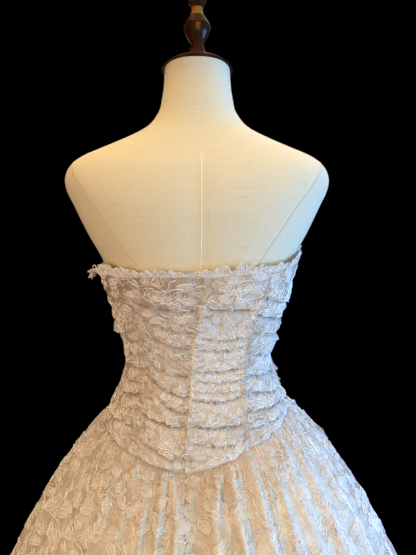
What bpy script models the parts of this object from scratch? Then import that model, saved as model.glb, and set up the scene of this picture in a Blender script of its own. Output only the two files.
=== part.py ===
"""A strapless lace ball gown on a limbless dress form, built piece by piece as a dressmaker cuts it.

Metres, +Z up. The floor is z = 0 and the stand's axis is x = y = 0. The wearer faces +Y, so the back of
the bodice faces -Y and the wearer's right hand is at +X.

A place on the body or the gown is given by an angle round the axis and a height. The angle is 0 at the
centre back, 90 degrees at the right side, 180 at the centre front and -90 at the left side.

Every cloth piece is a flat grid that is wrapped on to a surface and given its thickness by Solidify.
"""

import math

import bmesh
import bpy
import numpy as np

# Heights above the floor.
HEM_HEIGHT = 0.012
WAIST_HEIGHT = 1.028
BUST_HEIGHT = 1.140
BACK_NECKLINE = 1.186
SIDE_SEAM_HEIGHT = 0.941
NECK_TOP = 1.475

# The dress form: the outline of its sections, from the hips up to the neck.
# Columns: height, half width at the side, depth to the back, depth to the front.
FORM_SECTIONS = (
    (0.790, 0.152, 0.104, 0.092),
    (0.802, 0.163, 0.114, 0.101),
    (0.850, 0.166, 0.122, 0.106),
    (0.915, 0.153, 0.119, 0.104),
    (0.970, 0.130, 0.101, 0.096),
    (WAIST_HEIGHT, 0.1105, 0.087, 0.089),
    (1.085, 0.120, 0.089, 0.096),
    (BUST_HEIGHT, 0.134, 0.096, 0.104),
    (1.190, 0.147, 0.100, 0.099),
    (1.239, 0.172, 0.102, 0.083),
    (1.277, 0.189, 0.101, 0.071),
    (1.302, 0.200, 0.096, 0.063),
    (1.320, 0.201, 0.090, 0.057),
    (1.338, 0.191, 0.082, 0.052),
    (1.351, 0.172, 0.074, 0.049),
    (1.364, 0.140, 0.066, 0.046),
    (1.377, 0.108, 0.058, 0.045),
    (1.391, 0.079, 0.050, 0.047),
    (1.412, 0.0595, 0.043, 0.051),
    (1.440, 0.0525, 0.038, 0.055),
    (NECK_TOP, 0.0485, 0.035, 0.058),
)
SQUARENESS = 2.25  # the exponent of the sections: 2 is an ellipse, more is squarer
BUST_FORWARD = 0.026
BUST_APART = 0.078  # from the centre front to the fullest point
BUST_SPREAD = 0.058
BUST_RISE = 0.060
FORM_BUST = 0.85  # the form's own bust is a little less full than the gown's
BUST_CLEFT = 0.30  # how much of the bust's fullness the form loses at the centre front
CLEFT_WIDTH = 0.032
BUST_ROUND = 0.6  # how quickly the bust's fullness starts in front of the side seams
FORM_COLUMNS = 36
LONG_STEP = 0.03  # sections further apart than this get a ring halfway

# Layers of cloth, from the form outwards.
EASE = 0.0022  # between the form and the foundation
FOUNDATION_WALL = 0.0012
LAYER_GAP = 0.0012  # between the foundation and the lace
LACE_WALL = 0.0014
LINING_WALL = 0.0012
SEAM_GAP = 0.0003  # between two pieces that are sewn together
LACE_OUT = EASE + FOUNDATION_WALL + LAYER_GAP + LACE_WALL  # the lace's outer face where it lies flat

# The bodice's edges and seams.
SIDE_TURN = 92.0
SEAM_INSET = math.degrees(SEAM_GAP / 0.11)  # leaves room where the rows of two panels don't line up
BACK_POINT_TURN = -5.0  # where the waist seam is lowest at the back
BACK_DIP = 0.039  # how far it falls there
FRONT_DIP = 0.047
DIP_WIDTH = 37.0  # degrees
POINTED = 1.4  # the shape of a dip: 1 is a sharp point, 2 a rounded one
ROUNDED = 2.0
NECKLINE_TILT = 0.005  # how much higher the gown sits on the right, and lower on the left
WAIST_SEAM_TILT = 0.009
FRONT_NECKLINE_RISE = 0.022
SWEETHEART_DIP = 0.014
SWEETHEART_WIDTH = 17.0  # degrees

# Columns: share of the way down, back princess seam, front princess seam, drift of the centre back seam.
SEAM_TURNS = (
    (0.0, 42.0, 36.0, 2.5),
    (0.2, 37.0, 33.0, 1.0),
    (0.4, 33.0, 29.0, -2.5),
    (0.65, 31.0, 26.0, -4.0),
    (1.0, 36.0, 28.0, BACK_POINT_TURN),
)

# Each panel of the bodice, from the centre back seam round to the right. Columns: name, columns of grid.
BODICE_PANELS = (
    ("back_right", 4),
    ("side_back_right", 6),
    ("side_front_right", 6),
    ("front", 6),
    ("side_front_left", 6),
    ("side_back_left", 6),
    ("back_left", 4),
)

# Ruching: the lace is gathered into the seams, so that its folds run across each panel.
# Columns: share of the way down from the neckline, height of the lace above its foundation.
RUCHE_ROWS = (
    (0.000, 0.0000),
    (0.040, 0.0002),
    (0.095, 0.0058),
    (0.150, 0.0006),
    (0.215, 0.0050),
    (0.280, 0.0004),
    (0.345, 0.0062),
    (0.410, 0.0008),
    (0.475, 0.0048),
    (0.540, 0.0004),
    (0.605, 0.0056),
    (0.675, 0.0006),
    (0.740, 0.0060),
    (0.810, 0.0008),
    (0.885, 0.0080),
    (0.950, 0.0070),
    (1.000, 0.0000),
)
VALLEY_BELOW = 0.0010  # a row lower than this lies in a valley, and the foundation has one there too
RUCHE_WANDER = 0.016  # how far a fold rises or falls on its way across a panel, as a share of the way down
RUCHE_AT_SEAM = 0.30  # the share of a fold's height that is left where it meets a seam

# The frill along the neckline: the gathered edge of the lace, left standing.
FRILL_WAVES = 15
FRILL_WAVE_HEIGHT = 0.0035
FRILL_BELOW = 0.004
FRILL_ABOVE = 0.009
FRILL_FLARE = 0.009
FRILL_ROWS = 2

# The skirt: how far it stands out from the seam, as a straight flare and a puff at the gathers.
SKIRT_FLARE = 0.475
LACE_PUFF = 0.056
LINING_PUFF = 0.036
PUFF_DROP = 0.090
SKIRT_LEAN = 0.030  # how far the skirt swings to the right for each metre of drop
FOLD_AT_SEAM = 0.0014
GATHER_DROP = 0.010  # the drop over which the smallest gathers open below the seam
FOLD_AT_HEM = 0.024
FOLD_GROWTH = 0.40  # the drop over which the folds open
LINING_FOLD_SHARE = 0.50
LINING_TOP_DROP = 0.0014  # keeps the lining's straight-edged top clear of the curved seam
SKIRT_ROW_DROPS = (0.0, 0.030, 0.090, 0.220, 0.500, 1.0)  # shares of the skirt's length

# Each skirt panel's folds. Columns: angle of the fold's ridge, share of the full height.
BACK_RIGHT_FOLDS = (
    (1.0, 0.80),
    (9.5, 1.00),
    (21.0, 1.15),
    (31.5, 0.95),
    (43.0, 1.05),
    (55.5, 0.90),
    (68.5, 1.10),
    (81.5, 0.85),
)
FRONT_FOLDS = (
    (99.0, 0.90),
    (112.5, 1.05),
    (127.0, 0.80),
    (140.0, 1.00),
    (153.5, 0.85),
    (167.0, 1.10),
    (182.0, 0.90),
    (196.0, 1.05),
    (209.0, 0.80),
    (223.5, 1.00),
    (238.0, 0.90),
    (251.5, 1.05),
    (262.5, 0.75),
)
BACK_LEFT_FOLDS = (
    (274.5, 0.80),
    (287.0, 0.65),
    (299.5, 0.75),
    (311.0, 0.60),
    (323.5, 0.80),
    (336.0, 0.95),
    (347.0, 0.85),
)
# Columns: name, angle at its start, angle at its end, its folds.
SKIRT_PANELS = (
    ("back_right", BACK_POINT_TURN, SIDE_TURN, BACK_RIGHT_FOLDS),
    ("front", SIDE_TURN, 360.0 - SIDE_TURN, FRONT_FOLDS),
    ("back_left", 360.0 - SIDE_TURN, 360.0 + BACK_POINT_TURN, BACK_LEFT_FOLDS),
)
LACE_COLUMNS_PER_FOLD = 4
LINING_COLUMNS_PER_FOLD = 2

# The stand.
CAP_RADIUS = 0.0505
CAP_FORWARD = 0.0115  # the neck leans forward
CAP_HEIGHT = 0.028
FINIAL_TOP = 1.587
BASE_RADIUS = 0.180
BASE_THICKNESS = 0.016
BOSS_RADIUS = 0.034
BOSS_HEIGHT = 0.062
POLE_RADIUS = 0.016
BOTTOM_PLATE_THICKNESS = 0.012
TURNING_STEPS = 24

LINEN = ("linen", (0.80, 0.70, 0.54), 0.85)
PEACH_SATIN = ("peach_satin", (0.86, 0.66, 0.50), 0.45)
CHAMPAGNE_LACE = ("champagne_lace", (0.84, 0.76, 0.66), 0.65)
DARK_WOOD = ("dark_wood", (0.09, 0.03, 0.015), 0.28)


def clear_scene():
    for old in list(bpy.data.objects):
        bpy.data.objects.remove(old, do_unlink=True)


def material(finish):
    """One Principled material for each finish, shared by its pieces."""
    name, colour, roughness = finish
    found = bpy.data.materials.get(name)
    if found:
        return found
    made = bpy.data.materials.new(name)
    made.use_nodes = True
    shader = made.node_tree.nodes["Principled BSDF"]
    shader.inputs["Base Color"].default_value = (*colour, 1.0)
    shader.inputs["Roughness"].default_value = roughness
    shader.inputs["Metallic"].default_value = 0.0
    return made


def put(collection, name, mesh, finish):
    """A new object with this mesh and finish, in the gown's collection."""
    mesh.materials.append(material(finish))
    piece = bpy.data.objects.new(name, mesh)
    collection.objects.link(piece)
    return piece


# ---------------------------------------------------------------- the body's shape


def smooth_column(rows, column, at):
    """A smooth curve through one column of a table, read at the given values of its first column."""
    table = np.array(rows)
    knots = table[:, 0]
    values = table[:, column]
    slopes = np.gradient(values, knots)
    at = np.clip(at, knots[0], knots[-1])
    i = np.clip(np.searchsorted(knots, at) - 1, 0, len(knots) - 2)
    span = knots[i + 1] - knots[i]
    t = (at - knots[i]) / span
    start = (1 + 2 * t) * (1 - t) ** 2 * values[i] + t * (1 - t) ** 2 * span * slopes[i]
    end = t * t * (3 - 2 * t) * values[i + 1] + t * t * (t - 1) * span * slopes[i + 1]
    return start + end


def rounded_power(x):
    """The sine or cosine of a superellipse: the sign of x times |x| to 2 / SQUARENESS."""
    return np.sign(x) * np.abs(x) ** (2.0 / SQUARENESS)


def bust(x, height):
    """How far the bust stands forward at this place, bridged flat between its two fullest points."""
    aside = np.maximum(np.abs(x) - BUST_APART, 0.0) / BUST_SPREAD
    above = (height - BUST_HEIGHT) / BUST_RISE
    return BUST_FORWARD * np.exp(-(aside**2)) * np.exp(-(above**2))


def body_point(turn, height, out, fullness=1.0, cleft=0.0):
    """The point at this angle and height, this far out from the dress form."""
    turn = np.radians(turn)
    across = rounded_power(np.sin(turn))
    back = np.cos(turn)
    depth = np.where(
        back > 0,
        smooth_column(FORM_SECTIONS, 2, height),
        smooth_column(FORM_SECTIONS, 3, height),
    )
    x = (smooth_column(FORM_SECTIONS, 1, height) + out) * across
    y = -(depth + out) * rounded_power(back)
    front = np.clip(-back, 0.0, 1.0) ** BUST_ROUND
    hollow = fullness - cleft * np.exp(-((x / CLEFT_WIDTH) ** 2))
    return np.array([x, y + front * hollow * bust(x, height), height])


# ---------------------------------------------------------------- the gown's lines


def bump(turn, centre, width, power):
    """A peak of height 1 at one angle, dying away to both sides."""
    apart = abs((turn - centre + 180.0) % 360.0 - 180.0)
    return math.exp(-((apart / width) ** power))


def neckline(turn):
    """Height of the bodice's top edge: level at the back, a soft heart shape at the front."""
    angle = math.radians(turn)
    rise = FRONT_NECKLINE_RISE * ((1 - math.cos(angle)) / 2) ** 2
    dip = SWEETHEART_DIP * bump(turn, 180.0, SWEETHEART_WIDTH, ROUNDED)
    return BACK_NECKLINE + NECKLINE_TILT * math.sin(angle) + rise - dip


def waist_seam(turn):
    """Height of the dropped waist seam, which falls to a soft point at the centre back and front."""
    level = SIDE_SEAM_HEIGHT + WAIST_SEAM_TILT * math.sin(math.radians(turn))
    back = BACK_DIP * bump(turn, BACK_POINT_TURN, DIP_WIDTH, POINTED)
    return level - back - FRONT_DIP * bump(turn, 180.0, DIP_WIDTH, ROUNDED)


def bodice_height(turn, down):
    """Height at a share of the way down from the neckline to the waist seam."""
    top = neckline(turn)
    return top + (waist_seam(turn) - top) * down


def seam_turn(number, down):
    """Angle of a bodice seam, counted from the centre back to the right, at a share of the way down."""
    back, front, drift = (float(smooth_column(SEAM_TURNS, column, down)) for column in (1, 2, 3))
    turns = (
        drift,
        drift / 2 + back,
        SIDE_TURN,
        180.0 - front,
        180.0 + front,
        360.0 - SIDE_TURN,
        360.0 + drift / 2 - back,
    )
    laps, seam = divmod(number, len(turns))
    return turns[seam] + 360.0 * laps


def panel_turn(number, across, down):
    """Angle at a share of the way across a bodice panel, which stops just short of its two seams."""
    start = seam_turn(number, down) + SEAM_INSET
    end = seam_turn(number + 1, down) - SEAM_INSET
    return start + (end - start) * across


# ---------------------------------------------------------------- cloth


def cloth_wall(collection, name, surface, columns, rows, thickness, outwards, finish):
    """A grid of columns by rows, wrapped on to surface(across, up), with its thickness to one side."""
    sheet = bmesh.new()
    bmesh.ops.create_grid(sheet, x_segments=columns, y_segments=rows, size=0.5)
    for corner in sheet.verts:
        corner.co = surface(corner.co.x + 0.5, corner.co.y + 0.5)
    if leaning(sheet) < 0:
        bmesh.ops.reverse_faces(sheet, faces=sheet.faces)
    mesh = bpy.data.meshes.new(name)
    sheet.to_mesh(mesh)
    sheet.free()
    mesh.shade_smooth()
    piece = put(collection, name, mesh, finish)
    wall = piece.modifiers.new("wall", "SOLIDIFY")
    wall.thickness = thickness
    wall.offset = 1.0 if outwards else -1.0
    return piece


def leaning(sheet):
    """Above zero where a sheet's faces look away from the stand's axis, below zero where they look at it."""
    sheet.normal_update()
    total = 0.0
    for face in sheet.faces:
        middle = face.calc_center_median()
        total += face.normal.x * middle.x + face.normal.y * middle.y
    return total


def wander(number, across, down):
    """The share of the way down of a row that wanders across a panel, but keeps to its ends."""
    swing = math.sin(3.5 * across + 1.9 * number) * math.sin(math.pi * down) ** 0.5
    return down + RUCHE_WANDER * swing


def foundation_surface(number, rows):
    """The inner face of one panel's fitted satin foundation, with its rows under the lace's valleys."""

    def surface(across, up):
        down = wander(number, across, rows[round((1.0 - up) * (len(rows) - 1))])
        turn = panel_turn(number, across, down)
        return body_point(turn, bodice_height(turn, down), EASE)

    return surface


def ruched_surface(number):
    """The outer face of one panel's lace: folds that wander, and are drawn in at both seams."""
    last = len(RUCHE_ROWS) - 1

    def surface(across, up):
        down, fold = RUCHE_ROWS[round((1.0 - up) * last)]
        down = wander(number, across, down)
        held = RUCHE_AT_SEAM + (1.0 - RUCHE_AT_SEAM) * math.sin(math.pi * across) ** 0.5
        turn = panel_turn(number, across, down)
        return body_point(turn, bodice_height(turn, down), LACE_OUT + fold * held)

    return surface


def frill_surface(across, up):
    """The inner face of a gathered strip that stands up from the neckline and leans outwards."""
    turn = seam_turn(0, 0.0) + SEAM_INSET + (360.0 - 2 * SEAM_INSET) * across
    wave = -math.cos(2 * math.pi * FRILL_WAVES * across)
    lean = up * up * (FRILL_FLARE + FRILL_WAVE_HEIGHT * wave)
    edge = neckline(turn)
    height = edge - FRILL_BELOW + (FRILL_BELOW + FRILL_ABOVE) * up
    point = body_point(turn, min(height, edge), LACE_OUT + 2 * SEAM_GAP + lean)
    point[2] = height
    return point


def fold_stations(start, end, folds):
    """Valleys and ridges across a skirt panel, as angles, signed heights and half turns of a wave."""
    ridges = [angle for angle, height in folds]
    valleys = [start] + [(a + b) / 2 for a, b in zip(ridges, ridges[1:])] + [end]
    angles = [angle for pair in zip(valleys, ridges) for angle in pair] + [end]
    heights = [height for angle, height in folds for side in range(2)] + [folds[-1][1]]
    return angles, heights


def reached(drop, growth):
    """The share of its full size that something has grown to after this drop, from 0 towards 1."""
    return 1.0 - math.exp(-drop / growth)


def skirt_surface(start, end, folds, top_drop, out, puff, fold_share):
    """The outer face of a gathered panel that hangs from the waist seam and stands out like a bell."""
    angles, heights = fold_stations(start, end, folds)
    half_folds = range(len(angles))
    last_row = len(SKIRT_ROW_DROPS) - 1

    def seam_point(turn):
        return body_point(turn, waist_seam(turn) - top_drop, out)

    def surface(across, up):
        wave = across * half_folds[-1]
        turn = float(np.interp(wave, half_folds, angles))
        fold = -math.cos(math.pi * wave) * float(np.interp(wave, half_folds, heights))
        top = seam_point(turn)
        along = seam_point(turn + 0.5) - seam_point(turn - 0.5)
        along = np.array([along[0], along[1], 0.0]) / math.hypot(along[0], along[1])
        outward = np.array([along[1], -along[0], 0.0])
        drop = (top[2] - HEM_HEIGHT) * SKIRT_ROW_DROPS[round((1.0 - up) * last_row)]
        depth = FOLD_AT_SEAM * reached(drop, GATHER_DROP) + FOLD_AT_HEM * reached(drop, FOLD_GROWTH)
        stand = SKIRT_FLARE * drop + puff * reached(drop, PUFF_DROP) + fold_share * depth * fold
        inset = along * SEAM_GAP * (0.5 - across)
        return top + outward * stand + inset + np.array([SKIRT_LEAN * drop, 0.0, -drop])

    return surface


def build_bodice(collection):
    valleys = [down for down, fold in RUCHE_ROWS if fold < VALLEY_BELOW]
    for number, (panel, columns) in enumerate(BODICE_PANELS):
        name = f"bodice_foundation_{panel}"
        surface = foundation_surface(number, valleys)
        rows = len(valleys) - 1
        cloth_wall(collection, name, surface, columns, rows, FOUNDATION_WALL, True, PEACH_SATIN)
        name = f"bodice_lace_{panel}"
        surface = ruched_surface(number)
        rows = len(RUCHE_ROWS) - 1
        cloth_wall(collection, name, surface, columns, rows, LACE_WALL, False, CHAMPAGNE_LACE)
    columns = 4 * FRILL_WAVES
    cloth_wall(
        collection, "neckline_frill", frill_surface, columns, FRILL_ROWS, LACE_WALL, True, CHAMPAGNE_LACE
    )


def build_skirt(collection):
    rows = len(SKIRT_ROW_DROPS) - 1
    for panel, start, end, folds in SKIRT_PANELS:
        name = f"skirt_lining_{panel}"
        out = EASE + LINING_WALL
        surface = skirt_surface(start, end, folds, LINING_TOP_DROP, out, LINING_PUFF, LINING_FOLD_SHARE)
        columns = LINING_COLUMNS_PER_FOLD * len(folds)
        cloth_wall(collection, name, surface, columns, rows, LINING_WALL, False, PEACH_SATIN)
        name = f"skirt_lace_{panel}"
        surface = skirt_surface(start, end, folds, 2 * SEAM_GAP, LACE_OUT, LACE_PUFF, 1.0)
        columns = LACE_COLUMNS_PER_FOLD * len(folds)
        cloth_wall(collection, name, surface, columns, rows, LACE_WALL, False, CHAMPAGNE_LACE)


# ---------------------------------------------------------------- the dress form and its stand


def ring_heights():
    """Heights of the form's rings: each section, and one halfway to the next where they are far apart."""
    heights = [row[0] for row in FORM_SECTIONS]
    halfway = [(a + b) / 2 for a, b in zip(heights, heights[1:]) if b - a > LONG_STEP]
    return sorted(heights + halfway)


def build_torso(collection):
    """A closed loft through the form's sections."""
    body = bmesh.new()
    rings = []
    for height in ring_heights():
        turns = [360.0 * k / FORM_COLUMNS for k in range(FORM_COLUMNS)]
        rings.append([body.verts.new(body_point(turn, height, 0.0, FORM_BUST, BUST_CLEFT)) for turn in turns])
    for lower, upper in zip(rings, rings[1:]):
        for k in range(FORM_COLUMNS):
            following = (k + 1) % FORM_COLUMNS
            body.faces.new((lower[k], lower[following], upper[following], upper[k]))
    body.faces.new(reversed(rings[0]))
    body.faces.new(rings[-1])
    mesh = bpy.data.meshes.new("form_torso")
    body.to_mesh(mesh)
    body.free()
    mesh.shade_smooth()
    mesh.set_sharp_from_angle(angle=math.radians(50))
    return put(collection, "form_torso", mesh, LINEN)


def turned(collection, name, profile, finish, forward=0.0):
    """A turned piece: a profile of (radius, height), from its top down its outer side, spun by Screw."""
    outline = bmesh.new()
    points = [outline.verts.new((radius, 0.0, height)) for radius, height in profile]
    for a, b in zip(points, points[1:]):
        outline.edges.new((a, b))
    mesh = bpy.data.meshes.new(name)
    outline.to_mesh(mesh)
    outline.free()
    piece = put(collection, name, mesh, finish)
    piece.location.y = forward
    spin = piece.modifiers.new("turning", "SCREW")
    spin.axis = "Z"
    spin.angle = 2 * math.pi
    spin.steps = TURNING_STEPS
    spin.render_steps = TURNING_STEPS
    spin.use_merge_vertices = True
    spin.merge_threshold = 0.00005
    spin.use_smooth_shade = True
    return piece


def arc(centre, radius, start, end, points):
    """Points of an arc in (radius, height), between two angles in degrees measured up from outwards."""
    turns = np.radians(np.linspace(start, end, points))
    return [(centre[0] + radius * math.cos(t), centre[1] + radius * math.sin(t)) for t in turns]


def build_neck_cap(collection):
    """The polished disc that closes the neck, domed up to the finial."""
    low = NECK_TOP + SEAM_GAP
    profile = [
        (0.0, low + CAP_HEIGHT),
        (0.0105, low + CAP_HEIGHT),
        (0.0150, low + 0.0225),
        (0.0300, low + 0.0165),
        (0.0430, low + 0.0105),
        (CAP_RADIUS, low + 0.0055),
        (CAP_RADIUS, low + 0.0015),
        (CAP_RADIUS - 0.0015, low),
        (0.0, low),
    ]
    turned(collection, "form_neck_cap", profile, DARK_WOOD, CAP_FORWARD)


def build_finial(collection):
    """The turned knob on the cap: two beads, an urn with a ring round its shoulder, a stem and a ball."""
    low = NECK_TOP + CAP_HEIGHT + 2 * SEAM_GAP
    ball_radius = 0.0135
    ball_centre = (0.0, FINIAL_TOP - ball_radius)
    ball = arc(ball_centre, ball_radius, 90, -52, 9)
    ball[0] = (0.0, FINIAL_TOP)
    profile = ball + [
        (0.0072, low + 0.0530),
        (0.0078, low + 0.0455),
        (0.0120, low + 0.0385),
        (0.0180, low + 0.0350),
        (0.0202, low + 0.0325),
        (0.0190, low + 0.0305),
        (0.0196, low + 0.0285),
        (0.0186, low + 0.0220),
        (0.0150, low + 0.0140),
        (0.0102, low + 0.0085),
        (0.0085, low + 0.0070),
        (0.0108, low + 0.0050),
        (0.0090, low + 0.0030),
        (0.0122, low + 0.0012),
        (0.0122, low),
        (0.0, low),
    ]
    turned(collection, "form_finial", profile, DARK_WOOD, CAP_FORWARD)


def build_stand(collection):
    """A plate under the torso, a pole and a round weighted base."""
    plate_top = FORM_SECTIONS[0][0] - SEAM_GAP
    plate_low = plate_top - BOTTOM_PLATE_THICKNESS
    plate_radius = 0.088
    plate = [
        (0.0, plate_top),
        (plate_radius, plate_top),
        (plate_radius, plate_low + 0.004),
        (plate_radius - 0.004, plate_low),
        (0.0, plate_low),
    ]
    turned(collection, "form_bottom_plate", plate, DARK_WOOD)
    pole_top = plate_low - SEAM_GAP
    pole_low = BOSS_HEIGHT + SEAM_GAP
    collar = POLE_RADIUS + 0.012
    pole = [
        (0.0, pole_top),
        (collar, pole_top),
        (collar, pole_top - 0.020),
        (POLE_RADIUS + 0.004, pole_top - 0.034),
        (POLE_RADIUS, pole_top - 0.060),
        (POLE_RADIUS, pole_low + 0.060),
        (POLE_RADIUS + 0.003, pole_low + 0.030),
        (POLE_RADIUS + 0.006, pole_low),
        (0.0, pole_low),
    ]
    turned(collection, "form_pole", pole, DARK_WOOD)
    base = [
        (0.0, BOSS_HEIGHT),
        (BOSS_RADIUS - 0.005, BOSS_HEIGHT),
        (BOSS_RADIUS, BOSS_HEIGHT - 0.006),
        (BOSS_RADIUS, BASE_THICKNESS + 0.024),
        (BOSS_RADIUS + 0.016, BASE_THICKNESS + 0.013),
        (BASE_RADIUS * 0.60, BASE_THICKNESS + 0.008),
        (BASE_RADIUS - 0.008, BASE_THICKNESS),
        (BASE_RADIUS, BASE_THICKNESS - 0.006),
        (BASE_RADIUS, 0.003),
        (BASE_RADIUS - 0.003, 0.0),
        (0.0, 0.0),
    ]
    turned(collection, "form_base", base, DARK_WOOD)


def main():
    clear_scene()
    collection = bpy.data.collections.new("ball_gown_on_dress_form")
    bpy.context.scene.collection.children.link(collection)
    build_torso(collection)
    build_neck_cap(collection)
    build_finial(collection)
    build_stand(collection)
    build_bodice(collection)
    build_skirt(collection)


main()
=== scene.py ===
# %% [markdown]
# # A strapless lace ball gown on its dress form
# The gown is a fitted satin foundation under ruched lace, and a satin skirt under a gathered lace one.
# It is worn by a limbless dress form of linen, with a neck cap, a finial and a stand of dark polished wood.
# Metres, +Z up, and the wearer faces +Y, so the back of the bodice faces -Y.
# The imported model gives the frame: every piece below is worked out in its coordinates.

# %% Load the frame
import math

import bpy
import numpy as np
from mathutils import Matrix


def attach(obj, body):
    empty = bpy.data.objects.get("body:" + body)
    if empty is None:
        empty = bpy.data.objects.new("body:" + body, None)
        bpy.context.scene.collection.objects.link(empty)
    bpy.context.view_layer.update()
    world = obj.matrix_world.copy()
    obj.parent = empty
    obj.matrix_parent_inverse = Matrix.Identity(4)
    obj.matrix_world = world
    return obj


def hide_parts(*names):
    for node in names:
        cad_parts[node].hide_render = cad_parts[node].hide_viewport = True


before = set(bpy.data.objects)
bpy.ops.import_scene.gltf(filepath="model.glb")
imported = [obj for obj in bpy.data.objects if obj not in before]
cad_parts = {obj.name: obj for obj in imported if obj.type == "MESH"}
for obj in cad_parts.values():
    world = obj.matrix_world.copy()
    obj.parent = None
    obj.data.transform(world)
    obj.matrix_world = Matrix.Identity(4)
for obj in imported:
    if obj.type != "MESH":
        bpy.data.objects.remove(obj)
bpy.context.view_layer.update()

MM = 0.001  # a millimetre

# %% [markdown]
# ## The view
# The camera stands close behind the gown, a little above the neckline, and looks 11 degrees down.
# Its lens is wide, so the skirt swells towards the lower edge of the frame.

# %% Camera
CAMERA_PLACE = (0.0, -0.682, 1.295)
CAMERA_DOWN = 11.0
CAMERA_ASIDE = 1.33
CAMERA_LENS = 27.9

lens = bpy.data.cameras.new("view")
lens.lens = CAMERA_LENS
lens.clip_start = 0.02
camera = bpy.data.objects.new("view", lens)
camera.location = CAMERA_PLACE
camera.rotation_euler = (math.radians(90.0 - CAMERA_DOWN), 0.0, -math.radians(CAMERA_ASIDE))
bpy.context.scene.collection.objects.link(camera)
bpy.context.scene.camera = camera
print("camera at", CAMERA_PLACE, "with a lens of", CAMERA_LENS, "mm")

# %% [markdown]
# ## Meshes from arrays
# Every shape is a function of two parameters on a grid, or a section carried along a path.
# Its points are worked out as whole arrays, and these helpers put the arrays into meshes.

# %% Putting arrays into meshes


def put_mesh(name, points, faces, finish, slot, metric=None):
    """A smooth object from an array of points and a list of face arrays, each (faces, corners).

    metric, if given, is one (u, v) in metres for each point, and becomes the piece's UV map.
    """
    points = np.asarray(points, dtype=np.float32).reshape(-1, 3)
    corners = np.concatenate([np.asarray(group, dtype=np.int32).ravel() for group in faces])
    sizes = np.concatenate([np.full(len(group), group.shape[1], dtype=np.int32) for group in faces])
    mesh = bpy.data.meshes.new(name)
    mesh.vertices.add(len(points))
    mesh.vertices.foreach_set("co", points.ravel())
    mesh.loops.add(len(corners))
    mesh.loops.foreach_set("vertex_index", corners)
    mesh.polygons.add(len(sizes))
    mesh.polygons.foreach_set("loop_start", np.concatenate([[0], np.cumsum(sizes)[:-1]]).astype(np.int32))
    mesh.update(calc_edges=True)
    mesh.shade_smooth()
    if metric is not None:
        flat = np.asarray(metric, dtype=np.float32).reshape(-1, 2)[corners]
        mesh.uv_layers.new(name="cut").uv.foreach_set("vector", flat.ravel())
    mesh.materials.append(finish)
    piece = bpy.data.objects.new(name, mesh)
    bpy.context.scene.collection.objects.link(piece)
    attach(piece, "root")
    return piece


def grid_faces(rows, columns, wrapped=False):
    """The quads of a grid whose rows run downwards and whose columns run round to the right."""
    row = np.arange(rows - 1)[:, None]
    column = np.arange(columns if wrapped else columns - 1)[None, :]
    following = (column + 1) % columns
    here, below = row * columns, (row + 1) * columns
    corners = np.broadcast_arrays(here + column, below + column, below + following, here + following)
    return np.stack(corners, -1).reshape(-1, 4)


def gather(parts):
    """Several (points, faces) pairs as one."""
    points, faces, start = [], [], 0
    for part_points, part_faces in parts:
        points.append(part_points)
        faces += [group + start for group in part_faces]
        start += len(part_points)
    return np.concatenate(points), faces


def triangles(piece):
    """How many triangles the piece has with its modifiers."""
    mesh = piece.evaluated_get(bpy.context.evaluated_depsgraph_get()).to_mesh()
    mesh.calc_loop_triangles()
    return len(mesh.loop_triangles)


# %% [markdown]
# A sheet of cloth is a grid of points with a wall behind it. Its UV map holds lengths along the cloth in metres,
# so a weave keeps its size wherever the cloth is folded.

# %% Sheets of cloth


def cut_lengths(points):
    """Metres along a sheet's rows and down its columns, from its middle column and its top row."""
    along = np.linalg.norm(np.diff(points, axis=1), axis=-1)
    along = np.concatenate([np.zeros((len(points), 1)), np.cumsum(along, axis=1)], axis=1)
    along -= along[:, along.shape[1] // 2, None]
    down = np.linalg.norm(np.diff(points, axis=0), axis=-1)
    down = np.concatenate([np.zeros((1, points.shape[1])), np.cumsum(down, axis=0)], axis=0)
    return np.stack([along, down], axis=-1)


def cloth(name, points, thickness, finish, slot):
    """A sheet of cloth: a grid of points, with its thickness on the inner side."""
    rows, columns = points.shape[:2]
    piece = put_mesh(name, points, [grid_faces(rows, columns)], finish, slot, cut_lengths(points))
    wall = piece.modifiers.new("wall", "SOLIDIFY")
    wall.thickness = thickness
    wall.offset = -1.0
    return piece


def mark(piece, name, values):
    """Keeps one number for each point of the mesh, under a name that a finish can read."""
    layer = piece.data.attributes.new(name, "FLOAT", "POINT")
    layer.data.foreach_set("value", np.asarray(values, dtype=np.float32).ravel())


# %% [markdown]
# Welts, cords, petals and stitches are all a small ring of corners carried along a path, many paths at once.

# %% Rings carried along paths


def unit(vectors):
    """Each vector at length 1, and a vector of no length left as it is."""
    return vectors / np.maximum(np.linalg.norm(vectors, axis=-1, keepdims=True), 1e-12)


def surface_normals(surface, first, second, step_first, step_second):
    """Outward normals of a surface of two parameters, from its differences along both."""
    along = surface(first + step_first, second) - surface(first - step_first, second)
    down = surface(first, second + step_second) - surface(first, second - step_second)
    return unit(np.cross(down, along))


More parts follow.
